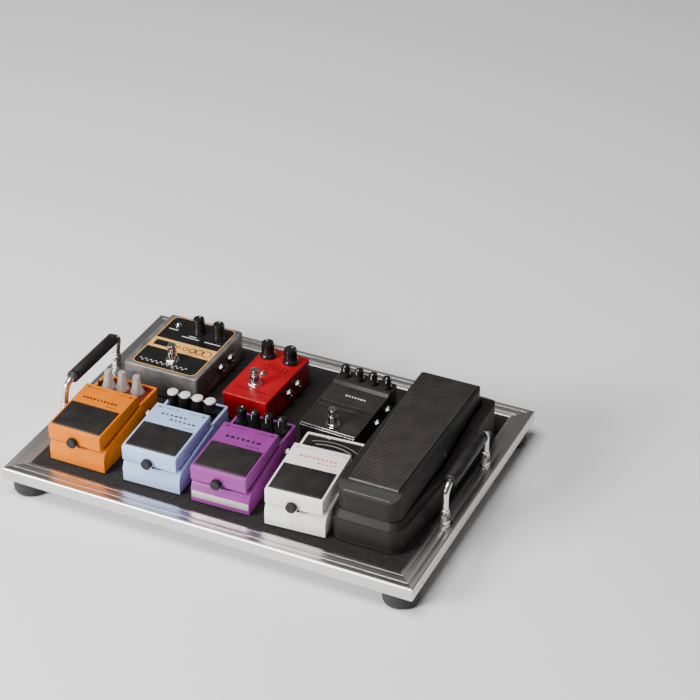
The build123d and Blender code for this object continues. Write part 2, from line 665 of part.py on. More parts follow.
WAH_TOP = 73.0
with BuildPart() as wah_treadle:
    here = spot("wah")
    rounded(here, -WT, WT, 4.2, 252.0, 34.0, WAH_TOP, 15.0)
    side_prism(here, -60, 60, [(2, 30), (2, 40), (110, 41), (122, 38), (154, 38), (170, 47), (259, 53.5), (259, 30)],
               mode=Mode.SUBTRACT)
    side_prism(here, -60, 60, [(2, 63), (5.2, 64.5), (7.5, 66.5), (15.5, WAH_TOP - 0.6), (18, WAH_TOP), (18, 76),
               (2, 76)], mode=Mode.SUBTRACT)
    side_prism(here, -60, 60, [(254, 67), (252, 68.5), (246, WAH_TOP), (246, 76), (254, 76)], mode=Mode.SUBTRACT)
    rounded(here, -WT + 2.3, WT - 2.3, 6.6, 249.6, 28.0, 60.0, 12.6, mode=Mode.SUBTRACT)
    rounded(here, -WT + 2.3, WT - 2.3, 16.0, 243.0, 59.0, 70.0, 8.0, mode=Mode.SUBTRACT)
    cross_rod(here, -60, 60, WAH_PIVOT_Y, WAH_PIVOT_Z, 3.06, mode=Mode.SUBTRACT)
save("wah_treadle", wah_treadle)

RIBS = 21
RUB_Y0 = 18.8
RUB_Y1 = 243.0
RUB_FRONT = (-26.5, 31.5)
RUB_REAR = (-36.6, 34.0)
with BuildPart() as wah_tread_rubber:
    here = spot("wah")
    with BuildSketch(Plane(here * Location((0, 0, WAH_TOP + 0.02)))) as mat:
        with BuildLine():
            Polyline((RUB_FRONT[0], RUB_Y0), (RUB_FRONT[1], RUB_Y0), (RUB_REAR[1], RUB_Y1), (RUB_REAR[0], RUB_Y1),
                     close=True)
        make_face()
    extrude(mat.sketch, amount=0.9)
    with BuildSketch(Plane(here * Location((0, 0, WAH_TOP + 0.8)))) as ribs:
        for i in range(RIBS):
            t = (i + 0.5) / RIBS
            xf = RUB_FRONT[0] + t * (RUB_FRONT[1] - RUB_FRONT[0])
            xr = RUB_REAR[0] + t * (RUB_REAR[1] - RUB_REAR[0])
            wf = 0.27 * (RUB_FRONT[1] - RUB_FRONT[0]) / RIBS
            wr = 0.27 * (RUB_REAR[1] - RUB_REAR[0]) / RIBS
            with BuildLine():
                Polyline((xf - wf, RUB_Y0 + 1), (xf + wf, RUB_Y0 + 1), (xr + wr, RUB_Y1 - 1), (xr - wr, RUB_Y1 - 1),
                         close=True)
            make_face()
    extrude(ribs.sketch, amount=1.5)
save("wah_tread_rubber", wah_tread_rubber)

with BuildPart() as hinge_pins:
    for pedal in COMPACTS:
        cross_rod(spot(pedal), TREAD_X0 + 0.3, TREAD_X1 - 0.3, HINGE_Y, HINGE_Z, 1.5)
    cross_rod(spot("wah"), -WT + 0.3, WT - 0.3, WAH_PIVOT_Y, WAH_PIVOT_Z, 3.0)
    for hx in HANDLE_XS.values():
        for hy in HANDLE_YS:
            pin = Location((hx, hy, HANDLE_PIVOT + 0.02))
            long_rod(pin, 0, -6.6, 6.6, 0, PIN_R)
            long_rod(pin, 0, 6.25, 8.2, 0, 2.4)
            long_rod(pin, 0, -7.6, -6.25, 0, 2.4)
save("hinge_pins", hinge_pins)

# ================= knobs and buttons =================


def knob(pedal, i, z0, z1, r_low, r_top, skirt_r, skirt_h):
    """Turned knob with a blind bore that runs on the control shaft."""
    x, y = KNOBS[pedal][i]
    here = spot(pedal)
    disc(here, x, y, z0, z0 + skirt_h, skirt_r)
    taper(here, x, y, z0 + skirt_h, z1, r_low, r_top)
    disc(here, x, y, z0 - 1, KNOB_Z[pedal][1] + 0.3, KNOB_BORE_R, mode=Mode.SUBTRACT)


# pedal: knob base, top, radius low, radius top, skirt radius, skirt height
KNOB_SHAPES = {
    "distortion": (36.2, 60.5, 6.6, 4.8, 8.2, 4.0),
    "chorus": (36.2, 60.5, 6.3, 6.1, 7.0, 3.0),
    "flanger": (36.2, 59.5, 6.4, 5.8, 6.8, 3.0),
    "echo": (39.0, 60.5, 8.0, 7.2, 9.2, 4.0),
    "compressor": (37.2, 57.5, 8.4, 7.8, 10.2, 4.0),
    "stomp": (41.6, 56.0, 5.6, 5.2, 6.4, 3.5),
}

for pedal, shape in KNOB_SHAPES.items():
    for i in range(len(KNOBS[pedal])):
        with BuildPart() as control_knob:
            knob(pedal, i, *shape)
        save(pedal + "_knob_" + str(i + 1), control_knob)

for pedal in SWITCHES:
    x, y, z0, z1, z2 = SWITCHES[pedal]
    with BuildPart() as button:
        disc(spot(pedal), x, y, z0 - 4, z1 + 4.0, 4.32)
        disc(spot(pedal), x, y, z1 + 3.6, z2 - 0.8, 5.4)
        taper(spot(pedal), x, y, z2 - 0.8, z2, 5.4, 4.4)
    save(pedal + "_button", button)
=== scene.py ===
import json
from math import asin, atan2, cos, hypot, pi, radians, sin, tan

import bmesh
import bpy
from mathutils import Matrix, Vector


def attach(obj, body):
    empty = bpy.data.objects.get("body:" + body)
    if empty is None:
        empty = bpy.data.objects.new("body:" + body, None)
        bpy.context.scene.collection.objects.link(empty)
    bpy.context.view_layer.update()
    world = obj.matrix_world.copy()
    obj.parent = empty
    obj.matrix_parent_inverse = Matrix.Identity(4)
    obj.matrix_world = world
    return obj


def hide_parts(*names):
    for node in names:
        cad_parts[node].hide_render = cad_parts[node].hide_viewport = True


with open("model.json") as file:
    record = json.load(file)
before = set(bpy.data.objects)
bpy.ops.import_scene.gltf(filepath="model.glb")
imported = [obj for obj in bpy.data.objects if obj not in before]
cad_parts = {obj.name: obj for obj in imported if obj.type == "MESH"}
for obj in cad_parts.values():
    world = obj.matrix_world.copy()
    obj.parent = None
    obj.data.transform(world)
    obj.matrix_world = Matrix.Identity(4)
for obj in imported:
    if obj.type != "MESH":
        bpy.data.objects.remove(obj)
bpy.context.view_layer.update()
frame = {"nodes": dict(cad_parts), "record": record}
nodes = frame["nodes"]
record = frame["record"]
MM = 0.001
BODY_OF = {n: b for b, ns in record["behaviour"]["bodies"].items() for n in ns}

# ------------------------------------------------------------------ camera
CAM_AT = Vector((0.8900, -1.6790, 1.4020))
CAM_AZ = 25.19
CAM_EL = 33.13
CAM_ROLL = 0.09
CAM_LENS = 101.0


def aim(az, el, roll):
    """Camera turn: az swings it to the right of the front, el lifts it."""
    a, e = radians(az), radians(el)
    back = Vector((sin(a) * cos(e), -cos(a) * cos(e), sin(e)))
    right = Vector((0, 0, 1)).cross(back).normalized()
    up = back.cross(right)
    m = Matrix((right, up, back)).transposed()
    return (m @ Matrix.Rotation(radians(-roll), 3, "Z")).to_4x4()


camera = bpy.data.objects.new("studio_camera", bpy.data.cameras.new("studio_camera"))
camera.data.lens = CAM_LENS
camera.data.sensor_width = 36.0
camera.data.clip_end = 20.0
camera.matrix_world = Matrix.Translation(CAM_AT) @ aim(CAM_AZ, CAM_EL, CAM_ROLL)
bpy.context.scene.collection.objects.link(camera)
bpy.context.scene.camera = camera

# ------------------------------------------------------------------ shared surface groups


def group(name, ins, outs):
    """Empty shader group with its sockets; returns the tree, its input node and output node."""
    tree = bpy.data.node_groups.new(name, "ShaderNodeTree")
    for label, value in ins:
        s = tree.interface.new_socket(label, in_out="INPUT", socket_type="NodeSocketFloat")
        s.default_value = value
    for label, kind in outs:
        tree.interface.new_socket(label, in_out="OUTPUT", socket_type=kind)
    return tree, tree.nodes.new("NodeGroupInput"), tree.nodes.new("NodeGroupOutput")


def math_node(tree, op, a, b=None, clamp=False):
    n = tree.nodes.new("ShaderNodeMath")
    n.operation = op
    n.use_clamp = clamp
    for i, v in enumerate((a, b)):
        if v is None:
            continue
        if isinstance(v, (int, float)):
            n.inputs[i].default_value = v
        else:
            tree.links.new(v, n.inputs[i])
    return n.outputs[0]


def noise(tree, vector, scale, detail=4.0, rough=0.55):
    n = tree.nodes.new("ShaderNodeTexNoise")
    tree.links.new(vector, n.inputs["Vector"])
    n.inputs["Detail"].default_value = detail
    n.inputs["Roughness"].default_value = rough
    if isinstance(scale, (int, float)):
        n.inputs["Scale"].default_value = scale
    else:
        tree.links.new(scale, n.inputs["Scale"])
    return n.outputs["Fac"]


def make_grain():
    """Fine all-over grain: a height, and a soft 0 to 1 mask for colour and roughness."""
    tree, gi, go = group("surface_grain", (("Scale", 900.0), ("Blotch", 40.0)),
                         (("Height", "NodeSocketFloat"), ("Mask", "NodeSocketFloat")))
    co = tree.nodes.new("ShaderNodeTexCoord").outputs["Object"]
    tree.links.new(noise(tree, co, gi.outputs["Scale"], 3.0, 0.6), go.inputs["Height"])
    blot = noise(tree, co, gi.outputs["Blotch"], 5.0, 0.6)
    spread = math_node(tree, "MULTIPLY", math_node(tree, "SUBTRACT", blot, 0.35), 3.0, clamp=True)
    tree.links.new(spread, go.inputs["Mask"])
    return tree


def make_scuff():
    """Thin scratches and rubbed spots: a mask that is mostly 0."""
    tree, gi, go = group("surface_scuff", (("Scale", 60.0), ("Amount", 0.5)), (("Mask", "NodeSocketFloat"),))
    co = tree.nodes.new("ShaderNodeTexCoord").outputs["Object"]
    stretch = tree.nodes.new("ShaderNodeMapping")
    stretch.inputs["Rotation"].default_value = (0.2, 0.4, 0.7)
    stretch.inputs["Scale"].default_value = (1.0, 9.0, 2.0)
    tree.links.new(co, stretch.inputs["Vector"])
    lines = noise(tree, stretch.outputs[0], gi.outputs["Scale"], 8.0, 0.7)
    cut = math_node(tree, "SUBTRACT", 0.78, math_node(tree, "MULTIPLY", gi.outputs["Amount"], 0.18))
    over = math_node(tree, "MULTIPLY", math_node(tree, "SUBTRACT", lines, cut), 14.0, clamp=True)
    tree.links.new(over, go.inputs["Mask"])
    return tree


def make_drawn():
    """Lines drawn along one axis by an extrusion die: height and mask."""
    tree, gi, go = group("drawn_lines", (("Along X", 1.0), ("Along Y", 1.0), ("Scale", 300.0)),
                         (("Height", "NodeSocketFloat"), ("Mask", "NodeSocketFloat")))
    co = tree.nodes.new("ShaderNodeTexCoord").outputs["Object"]
    parts = tree.nodes.new("ShaderNodeSeparateXYZ")
    tree.links.new(co, parts.inputs[0])
    join = tree.nodes.new("ShaderNodeCombineXYZ")
    tree.links.new(math_node(tree, "MULTIPLY", parts.outputs[0], gi.outputs["Along X"]), join.inputs[0])
    tree.links.new(math_node(tree, "MULTIPLY", parts.outputs[1], gi.outputs["Along Y"]), join.inputs[1])
    tree.links.new(parts.outputs[2], join.inputs[2])
    lines = noise(tree, join.outputs[0], gi.outputs["Scale"], 6.0, 0.7)
    tree.links.new(lines, go.inputs["Height"])
    soft = math_node(tree, "MULTIPLY", math_node(tree, "SUBTRACT", lines, 0.3), 2.2, clamp=True)
    tree.links.new(soft, go.inputs["Mask"])
    return tree


GRAIN, SCUFF, DRAWN = make_grain(), make_scuff(), make_drawn()


def use(tree, which, **values):
    n = tree.nodes.new("ShaderNodeGroup")
    n.node_tree = which
    for k, v in values.items():
        n.inputs[k.replace("_", " ")].default_value = v
    return n


def blend_colour(tree, mask, a, b):
    m = tree.nodes.new("ShaderNodeMix")
    m.data_type = "RGBA"
    tree.links.new(mask, m.inputs["Factor"])
    for key, c in ((6, a), (7, b)):
        if isinstance(c, tuple):
            m.inputs[key].default_value = (*c, 1.0)
        else:
            tree.links.new(c, m.inputs[key])
    return m.outputs[2]


def ramp_value(tree, mask, lo, hi):
    return math_node(tree, "ADD", math_node(tree, "MULTIPLY", mask, hi - lo), lo)


def bump(tree, height, strength, distance):
    b = tree.nodes.new("ShaderNodeBump")
    b.inputs["Strength"].default_value = strength
    b.inputs["Distance"].default_value = distance
    tree.links.new(height, b.inputs["Height"])
    return b.outputs["Normal"]


def finish(name, colour, second=None, rough=(0.4, 0.5), metal=0.0, coat=0.0, grain=900.0, blotch=40.0, depth=0.00003,
           strength=0.4, scuff=0.0, scuff_colour=(0.5, 0.5, 0.5), sheen=0.0, glass=0.0, ior=1.5, spec=0.3, drawn=None):
    """One surface finish: grain height, blotchy tone between two colours, scuffs, gloss."""
    mat = bpy.data.materials.new(name)
    mat.use_nodes = True
    tree = mat.node_tree
    bsdf = tree.nodes["Principled BSDF"]
    if drawn:
        g = use(tree, DRAWN, Along_X=drawn[0], Along_Y=drawn[1], Scale=grain)
    else:
        g = use(tree, GRAIN, Scale=grain, Blotch=blotch)
    second = second or tuple(c * 0.86 for c in colour)
    tone = blend_colour(tree, g.outputs["Mask"], colour, second)
    rough_v = ramp_value(tree, g.outputs["Mask"], rough[0], rough[1])
    if scuff:
        s = use(tree, SCUFF, Amount=scuff)
        tone = blend_colour(tree, s.outputs["Mask"], tone, scuff_colour)
        rough_v = math_node(tree, "ADD", rough_v, math_node(tree, "MULTIPLY", s.outputs["Mask"], 0.15), clamp=True)
    tree.links.new(tone, bsdf.inputs["Base Color"])
    tree.links.new(rough_v, bsdf.inputs["Roughness"])
    tree.links.new(bump(tree, g.outputs["Height"], strength, depth), bsdf.inputs["Normal"])
    bsdf.inputs["Metallic"].default_value = metal
    bsdf.inputs["Coat Weight"].default_value = coat
    bsdf.inputs["Coat Roughness"].default_value = 0.12
    bsdf.inputs["Sheen Weight"].default_value = sheen
    bsdf.inputs["Transmission Weight"].default_value = glass
    bsdf.inputs["IOR"].default_value = ior
    bsdf.inputs["Specular IOR Level"].default_value = spec
    return mat


M = {
    "alu_x": finish("rail_aluminium_wide", (0.80, 0.775, 0.77), (0.66, 0.64, 0.63), (0.28, 0.42), 1.0, grain=260.0,
                    drawn=(0.02, 1.0), depth=0.00002, strength=0.25, scuff=0.35, scuff_colour=(0.86, 0.85, 0.84)),
    "alu_y": finish("rail_aluminium_deep", (0.80, 0.775, 0.77), (0.66, 0.64, 0.63), (0.28, 0.42), 1.0, grain=260.0,
                    drawn=(1.0, 0.02), depth=0.00002, strength=0.25, scuff=0.35, scuff_colour=(0.86, 0.85, 0.84)),
    "carpet": finish("deck_carpet_pile", (0.010, 0.0085, 0.0085), (0.022, 0.019, 0.019), (0.92, 1.0), grain=1500.0,
                     blotch=260.0, depth=0.0006, strength=1.0, sheen=0.06, spec=0.15),
    "wood": finish("deck_black_ply", (0.016, 0.015, 0.015), (0.03, 0.027, 0.026), (0.6, 0.8), grain=400.0,
                   depth=0.0001),
    "zinc": finish("zinc_steel", (0.62, 0.62, 0.61), (0.45, 0.45, 0.44), (0.28, 0.42), 1.0, scuff=0.5),
    "foot": finish("foot_rubber", (0.022, 0.021, 0.021), (0.034, 0.032, 0.032), (0.5, 0.68), grain=700.0, depth=0.00008,
                   scuff=0.4, scuff_colour=(0.08, 0.078, 0.075)),
    "grip": finish("grip_rubber", (0.014, 0.013, 0.013), (0.024, 0.022, 0.022), (0.42, 0.6), grain=1400.0,
                   depth=0.00006,
                   scuff=0.3, scuff_colour=(0.05, 0.05, 0.05)),
    "chrome": finish("polished_chrome", (0.86, 0.85, 0.84), (0.78, 0.77, 0.76), (0.06, 0.14), 1.0, grain=120.0,
                     depth=0.000004, strength=0.1, scuff=0.3, scuff_colour=(0.6, 0.6, 0.6)),
    "satin": finish("handle_steel", (0.80, 0.79, 0.78), (0.68, 0.67, 0.66), (0.2, 0.32), 1.0, grain=500.0,
                    depth=0.00001, strength=0.2, scuff=0.4, scuff_colour=(0.55, 0.55, 0.54)),
    "nickel": finish("dull_nickel", (0.34, 0.33, 0.32), (0.22, 0.215, 0.21), (0.22, 0.36), 1.0, grain=600.0, scuff=0.3),
    "orange": finish("orange_enamel", (0.74, 0.185, 0.0), (0.66, 0.155, 0.0), (0.36, 0.5), grain=900.0,
                     depth=0.00001, strength=0.25, scuff=0.2, scuff_colour=(0.8, 0.3, 0.03), spec=0.12),
    "maroon": finish("maroon_panel", (0.22, 0.022, 0.006), (0.16, 0.015, 0.005), (0.35, 0.5), coat=0.2),
    "blue": finish("pale_blue_enamel", (0.40, 0.535, 0.80), (0.35, 0.48, 0.75), (0.38, 0.5), coat=0.08, grain=2600.0,
                   depth=0.00001, strength=0.25, scuff=0.2, scuff_colour=(0.5, 0.62, 0.86)),
    "purple": finish("purple_enamel", (0.26, 0.035, 0.245), (0.215, 0.028, 0.205), (0.34, 0.46), coat=0.12,
                     grain=2600.0,
                     depth=0.00001, strength=0.25, scuff=0.25, scuff_colour=(0.45, 0.2, 0.42)),
    "white": finish("white_enamel", (0.86, 0.85, 0.82), (0.80, 0.785, 0.755), (0.32, 0.44), coat=0.3, grain=2600.0,
                    depth=0.00001, strength=0.2, scuff=0.3, scuff_colour=(0.62, 0.6, 0.57)),
    "echo": finish("hammered_metal", (0.24, 0.23, 0.22), (0.12, 0.115, 0.11), (0.36, 0.56), 0.35, grain=420.0,
                   blotch=70.0, depth=0.00035, strength=0.55, scuff=0.6, scuff_colour=(0.45, 0.44, 0.42)),
    "red": finish("red_enamel", (0.36, 0.002, 0.008), (0.29, 0.002, 0.006), (0.32, 0.44), coat=0.1, grain=900.0,
                  depth=0.00004, strength=0.25, scuff=0.2, scuff_colour=(0.6, 0.12, 0.1)),
    "stomp": finish("charcoal_satin", (0.022, 0.0195, 0.019), (0.031, 0.028, 0.027), (0.38, 0.5), 0.2, grain=1600.0,
                    depth=0.00004, strength=0.3, scuff=0.3, scuff_colour=(0.12, 0.11, 0.11)),
    "stomp_gloss": finish("charcoal_gloss", (0.020, 0.018, 0.018), None, (0.12, 0.2), coat=0.5),
    "crackle": finish("black_crackle", (0.013, 0.0115, 0.011), (0.022, 0.0195, 0.0185), (0.42, 0.6), grain=520.0,
                      blotch=300.0, depth=0.0003, strength=0.6, scuff=0.3, scuff_colour=(0.08, 0.075, 0.07), spec=0.18),
    "tread": finish("tread_rubber", (0.036, 0.031, 0.029), (0.058, 0.050, 0.046), (0.5, 0.66), grain=800.0,
                    blotch=55.0, depth=0.0001, scuff=0.7, scuff_colour=(0.2, 0.17, 0.15)),
    # pale edge colour: used as rubbed wear and as the painted highlight on the wah treadle's crease
    "wear_and_highlight_edge": finish("rubbed_edge", (0.17, 0.155, 0.145), (0.09, 0.08, 0.075), (0.4, 0.55), grain=700.0, scuff=0.6,
                        scuff_colour=(0.3, 0.28, 0.26)),
    "pad": finish("pad_rubber", (0.013, 0.011, 0.0105), (0.021, 0.018, 0.017), (0.5, 0.64), grain=1400.0,
                  depth=0.00005, scuff=0.45, scuff_colour=(0.07, 0.06, 0.055)),
    "black": finish("gloss_black_plastic", (0.009, 0.0085, 0.0085), (0.014, 0.013, 0.013), (0.14, 0.24), coat=0.3,
                    grain=300.0, depth=0.000008, strength=0.15, scuff=0.2, scuff_colour=(0.06, 0.06, 0.06)),
    "matt": finish("matt_black_plastic", (0.013, 0.012, 0.012), (0.020, 0.018, 0.018), (0.5, 0.62), grain=900.0),
    "cap": finish("ivory_cap", (0.72, 0.69, 0.65), (0.64, 0.61, 0.57), (0.4, 0.5)),
    "clear": finish("clear_acrylic", (0.93, 0.89, 0.87), (0.86, 0.80, 0.77), (0.04, 0.14), glass=0.72, ior=1.49,
                    grain=300.0, depth=0.00002, strength=0.2),
    "ink": finish("black_print", (0.012, 0.011, 0.011), None, (0.5, 0.6)),
    "ink_maroon": finish("maroon_print", (0.05, 0.004, 0.003), None, (0.5, 0.6)),
    "ink_orange": finish("orange_print", (0.72, 0.17, 0.035), None, (0.5, 0.6)),
    "ink_white": finish("pale_print", (0.60, 0.59, 0.57), None, (0.5, 0.6)),
    "ink_tan": finish("tan_print", (0.86, 0.44, 0.13), (0.78, 0.38, 0.10), (0.42, 0.5)),
    # silver: printed labels and marks, and the painted highlight on the stomp's front edge
    "silver": finish("silver_label", (0.60, 0.56, 0.54), (0.50, 0.47, 0.45), (0.28, 0.4), 0.6, grain=2000.0),
    "base": finish("base_rubber", (0.012, 0.012, 0.012), None, (0.7, 0.85)),
}

# ------------------------------------------------------------------ shape helpers (pedal frames in mm)
BOARD_W, BOARD_D, PEDAL_Z = 522.0, 372.0, 37.5
SPOTS = {
    "distortion": (42.6, 40.0, 0.1), "chorus": (141.3, 39.6, 1.7), "flanger": (230.9, 39.0, 1.7),
    "tuner": (325.9, 36.2, 3.7), "echo": (44.7, 206.4, -0.1), "compressor": (184.3, 201.3, -1.6),
    "stomp": (293.0, 189.0, -2.5), "wah": (444.0, 46.0, 0.0),
}


def place(pedal):
    """Matrix from a pedal's own millimetres to the board's metres."""
    x, y, turn = SPOTS[pedal]
    at = Vector(((x - BOARD_W / 2) * MM, (y - BOARD_D / 2) * MM, PEDAL_Z * MM))
    return Matrix.Translation(at) @ Matrix.Rotation(radians(turn), 4, "Z") @ Matrix.Scale(MM, 4)


BOARD = Matrix.Scale(MM, 4)


def piece(name, bm, body, mats, smooth=35.0, stands_for=()):
    """Turn a bmesh, already in metres, into a finished object that rides on a body."""
    me = bpy.data.meshes.new(name)
    bm.to_mesh(me)
    bm.free()
    return dress(name, me, body, mats, smooth, stands_for)


def dress(name, me, body, mats, smooth=35.0, stands_for=()):
    for m in (mats if isinstance(mats, (list, tuple)) else [mats]):
        me.materials.append(m)
    me.shade_smooth()
    me.set_sharp_from_angle(angle=radians(smooth))
    ob = bpy.data.objects.new(name, me)
    bpy.context.scene.collection.objects.link(ob)
    if stands_for:
        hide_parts(*stands_for)
    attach(ob, body)
    return ob


def baked(ob):
    """Evaluate an object's modifiers to a plain mesh and drop the object."""
    dg = bpy.context.evaluated_depsgraph_get()
    me = bpy.data.meshes.new_from_object(ob.evaluated_get(dg))
    bpy.data.objects.remove(ob)
    return me


def solids_in(bm):
    """The separate closed solids of a mesh, as lists of faces."""
    left, out = set(bm.faces), []
    while left:
        stack, found = [left.pop()], []
        while stack:
            f = stack.pop()
            found.append(f)
            for e in f.edges:
                for g in e.link_faces:
                    if g in left:
                        left.remove(g)
                        stack.append(g)
        out.append(found)
    return out


def softened(node, width, mat, angle=28.0, segments=2, smooth=32.0, pick=None):
    """Stand-in for a CAD node with its edges broken by width (mm). pick(low, high) gives a
    solid's material number, or None to leave it out because a finer piece stands there."""
    bm = bmesh.new()
    bm.from_mesh(nodes[node].data)
    bmesh.ops.remove_doubles(bm, verts=bm.verts, dist=2e-6)
    for f in bm.faces:
        f.material_index = 0
    if pick:
        gone = []
        for faces in solids_in(bm):
            cs = [v.co for f in faces for v in f.verts]
            low = Vector([min(c[k] for c in cs) for k in range(3)]) * 1000
            high = Vector([max(c[k] for c in cs) for k in range(3)]) * 1000
            number = pick(low, high)
            if number is None:
                gone += faces
            else:
                for f in faces:
                    f.material_index = number
        bmesh.ops.delete(bm, geom=gone, context="FACES")
    bmesh.ops.dissolve_limit(bm, angle_limit=radians(0.5), verts=bm.verts, edges=bm.edges, delimit={"MATERIAL"})
    me = bpy.data.meshes.new(node + "_soft")
    bm.to_mesh(me)
    bm.free()
    ob = bpy.data.objects.new(node + "_soft", me)
    bpy.context.scene.collection.objects.link(ob)
    edge = ob.modifiers.new("edge", "BEVEL")
    edge.width = width * MM
    edge.segments = segments
    edge.limit_method = "ANGLE"
    edge.angle_limit = radians(angle)
    edge.use_clamp_overlap = True
    bpy.context.view_layer.update()
    return dress(node + "_finished", baked(ob), BODY_OF[node], mat, smooth, (node,))


def prism(bm, pts, z0, z1, where, mat=0):
    """Closed prism over an outline."""
    lo = [bm.verts.new(where @ Vector((x, y, z0))) for x, y in pts]
    hi = [bm.verts.new(where @ Vector((x, y, z1))) for x, y in pts]
    faces = [bm.faces.new(hi), bm.faces.new(lo[::-1])]
    n = len(pts)
    for i in range(n):
        faces.append(bm.faces.new((lo[i], lo[(i + 1) % n], hi[(i + 1) % n], hi[i])))
    for f in faces:
        f.material_index = mat
    return faces


def slab(bm, x0, x1, y0, y1, z0, z1, where, mat=0):
    prism(bm, [(x0, y0), (x1, y0), (x1, y1), (x0, y1)], z0, z1, where, mat)


def rounded_outline(x0, x1, y0, y1, r, n=6):
    pts = []
    for cx, cy, a0 in ((x1 - r, y0 + r, -pi / 2), (x1 - r, y1 - r, 0), (x0 + r, y1 - r, pi / 2), (x0 + r, y0 + r, pi)):
        for i in range(n + 1):
            a = a0 + i * pi / 2 / n
            pts.append((cx + r * cos(a), cy + r * sin(a)))
    return pts


def ring_strip(bm, outer, inner, z0, z1, where, mat=0):
    """Flat closed band between two outlines of equal count."""
    n = len(outer)
    rows = []
    for pts, z in ((outer, z0), (outer, z1), (inner, z1), (inner, z0)):
        rows.append([bm.verts.new(where @ Vector((x, y, z))) for x, y in pts])
    for k in range(4):
        a, b = rows[k], rows[(k + 1) % 4]
        for i in range(n):
            j = (i + 1) % n
            f = bm.faces.new((a[i], a[j], b[j], b[i]))
            f.material_index = mat


def lathe(bm, cx, cy, profile, where, seg=48, flutes=0, cut=0.0, mat=0, axis="Z", fluted=None):
    """Turn (radius, height) points; flutes waves of depth cut on the rows in fluted."""
    rows = []
    for k, (r, z) in enumerate(profile):
        row = []
        if r < 1e-6:
            row = [bm.verts.new(where @ axis_point(cx, cy, 0, 0, z, axis))] * seg
        else:
            for i in range(seg):
                a = 2 * pi * i / seg
                rr = r
                if flutes and (fluted is None or k in fluted):
                    rr = r - cut * (0.5 - 0.5 * cos(a * flutes))
                row.append(bm.verts.new(where @ axis_point(cx, cy, rr * cos(a), rr * sin(a), z, axis)))
        rows.append(row)
    for a, b in zip(rows, rows[1:]):
        for i in range(seg):
            j = (i + 1) % seg
            quad = []
            for v in (a[i], a[j], b[j], b[i]):
                if v not in quad:
                    quad.append(v)
            if len(quad) > 2:
                f = bm.faces.new(quad)
                f.material_index = mat


def axis_point(cx, cy, u, v, h, axis):
    if axis == "Z":
        return Vector((cx + u, cy + v, h))
    return Vector((cx + u, h, cy - v))


# ------------------------------------------------------------------ repeats, grown by node trees


def plan_of(name, ins):
    """Empty geometry tree with named inputs."""
    tree = bpy.data.node_groups.new(name, "GeometryNodeTree")
    for label, kind, value in ins:
        s = tree.interface.new_socket(label, in_out="INPUT", socket_type="NodeSocket" + kind)
        s.default_value = value
    tree.interface.new_socket("Geometry", in_out="OUTPUT", socket_type="NodeSocketGeometry")
    return tree, tree.nodes.new("NodeGroupInput").outputs, tree.nodes.new("NodeGroupOutput").inputs


def joined(tree, x, y, z):
    n = tree.nodes.new("ShaderNodeCombineXYZ")
    for i, v in enumerate((x, y, z)):
        if isinstance(v, (int, float)):
            n.inputs[i].default_value = v
        else:
            tree.links.new(v, n.inputs[i])
    return n.outputs[0]


def set_out(tree, points, shape, turn, scale, material, out):
    """Stand a shape on points, realise it and give it its material."""
    stand = tree.nodes.new("GeometryNodeInstanceOnPoints")
    real = tree.nodes.new("GeometryNodeRealizeInstances")
    paint = tree.nodes.new("GeometryNodeSetMaterial")
    paint.inputs["Material"].default_value = material
    tree.links.new(points, stand.inputs["Points"])
    tree.links.new(shape, stand.inputs["Instance"])
    if turn is not None:
        tree.links.new(turn, stand.inputs["Rotation"])
    if scale is not None:
        tree.links.new(scale, stand.inputs["Scale"])
    tree.links.new(stand.outputs[0], real.inputs[0])
    tree.links.new(real.outputs[0], paint.inputs[0])
    tree.links.new(paint.outputs[0], out)


def cube_of(tree, size):
    n = tree.nodes.new("GeometryNodeMeshCube")
    tree.links.new(size, n.inputs["Size"])
    return n.outputs["Mesh"]


def ridge_ring():
    """Upright ridges round a knob or screw head."""
    tree, gi, go = plan_of("grip_ridges", (("Count", "Int", 18), ("Radius", "Float", 6.0), ("Depth", "Float", 0.6),
                                           ("Width", "Float", 0.6), ("Length", "Float", 10.0), ("Lift", "Float", 0.0)))
    ring = tree.nodes.new("GeometryNodeMeshCircle")
    tree.links.new(gi["Count"], ring.inputs["Vertices"])
    tree.links.new(gi["Radius"], ring.inputs["Radius"])
    move = tree.nodes.new("GeometryNodeSetPosition")
    tree.links.new(ring.outputs[0], move.inputs["Geometry"])
    tree.links.new(joined(tree, 0, 0, gi["Lift"]), move.inputs["Offset"])
    number = tree.nodes.new("GeometryNodeInputIndex").outputs[0]
    step = math_node(tree, "DIVIDE", 2 * pi, gi["Count"])
    turn = joined(tree, 0, 0, math_node(tree, "MULTIPLY", number, step))
    block = cube_of(tree, joined(tree, gi["Depth"], gi["Width"], gi["Length"]))
    set_out(tree, move.outputs[0], block, turn, None, M["black"], go[0])
    return tree


def bar_row():
    """A straight row of bars whose lengths vary by a fixed seed."""
    tree, gi, go = plan_of("bar_row", (("Count", "Int", 8), ("Run", "Float", 30.0), ("Bar X", "Float", 2.0),
                                       ("Bar Y", "Float", 1.0), ("Bar Z", "Float", 0.3), ("Vary X", "Float", 0.0),
                                       ("Vary Y", "Float", 0.0), ("Seed", "Int", 1)))
    row = tree.nodes.new("GeometryNodeMeshLine")
    row.mode = "END_POINTS"
    tree.links.new(gi["Count"], row.inputs["Count"])
    tree.links.new(joined(tree, gi["Run"], 0, 0), row.inputs["Offset"])
    chance = []
    for extra in (0, 17):
        r = tree.nodes.new("FunctionNodeRandomValue")
        r.data_type = "FLOAT"
        tree.links.new(math_node(tree, "ADD", gi["Seed"], extra), r.inputs["Seed"])
        chance.append(r.outputs[1])
    grow = [math_node(tree, "SUBTRACT", 1.0, math_node(tree, "MULTIPLY", c, gi[v]))
            for c, v in zip(chance, ("Vary X", "Vary Y"))]
    block = cube_of(tree, joined(tree, gi["Bar X"], gi["Bar Y"], gi["Bar Z"]))
    set_out(tree, row.outputs[0], block, None, joined(tree, grow[0], grow[1], 1.0), M["ink"], go[0])
    return tree


RIDGES, BARS = ridge_ring(), bar_row()


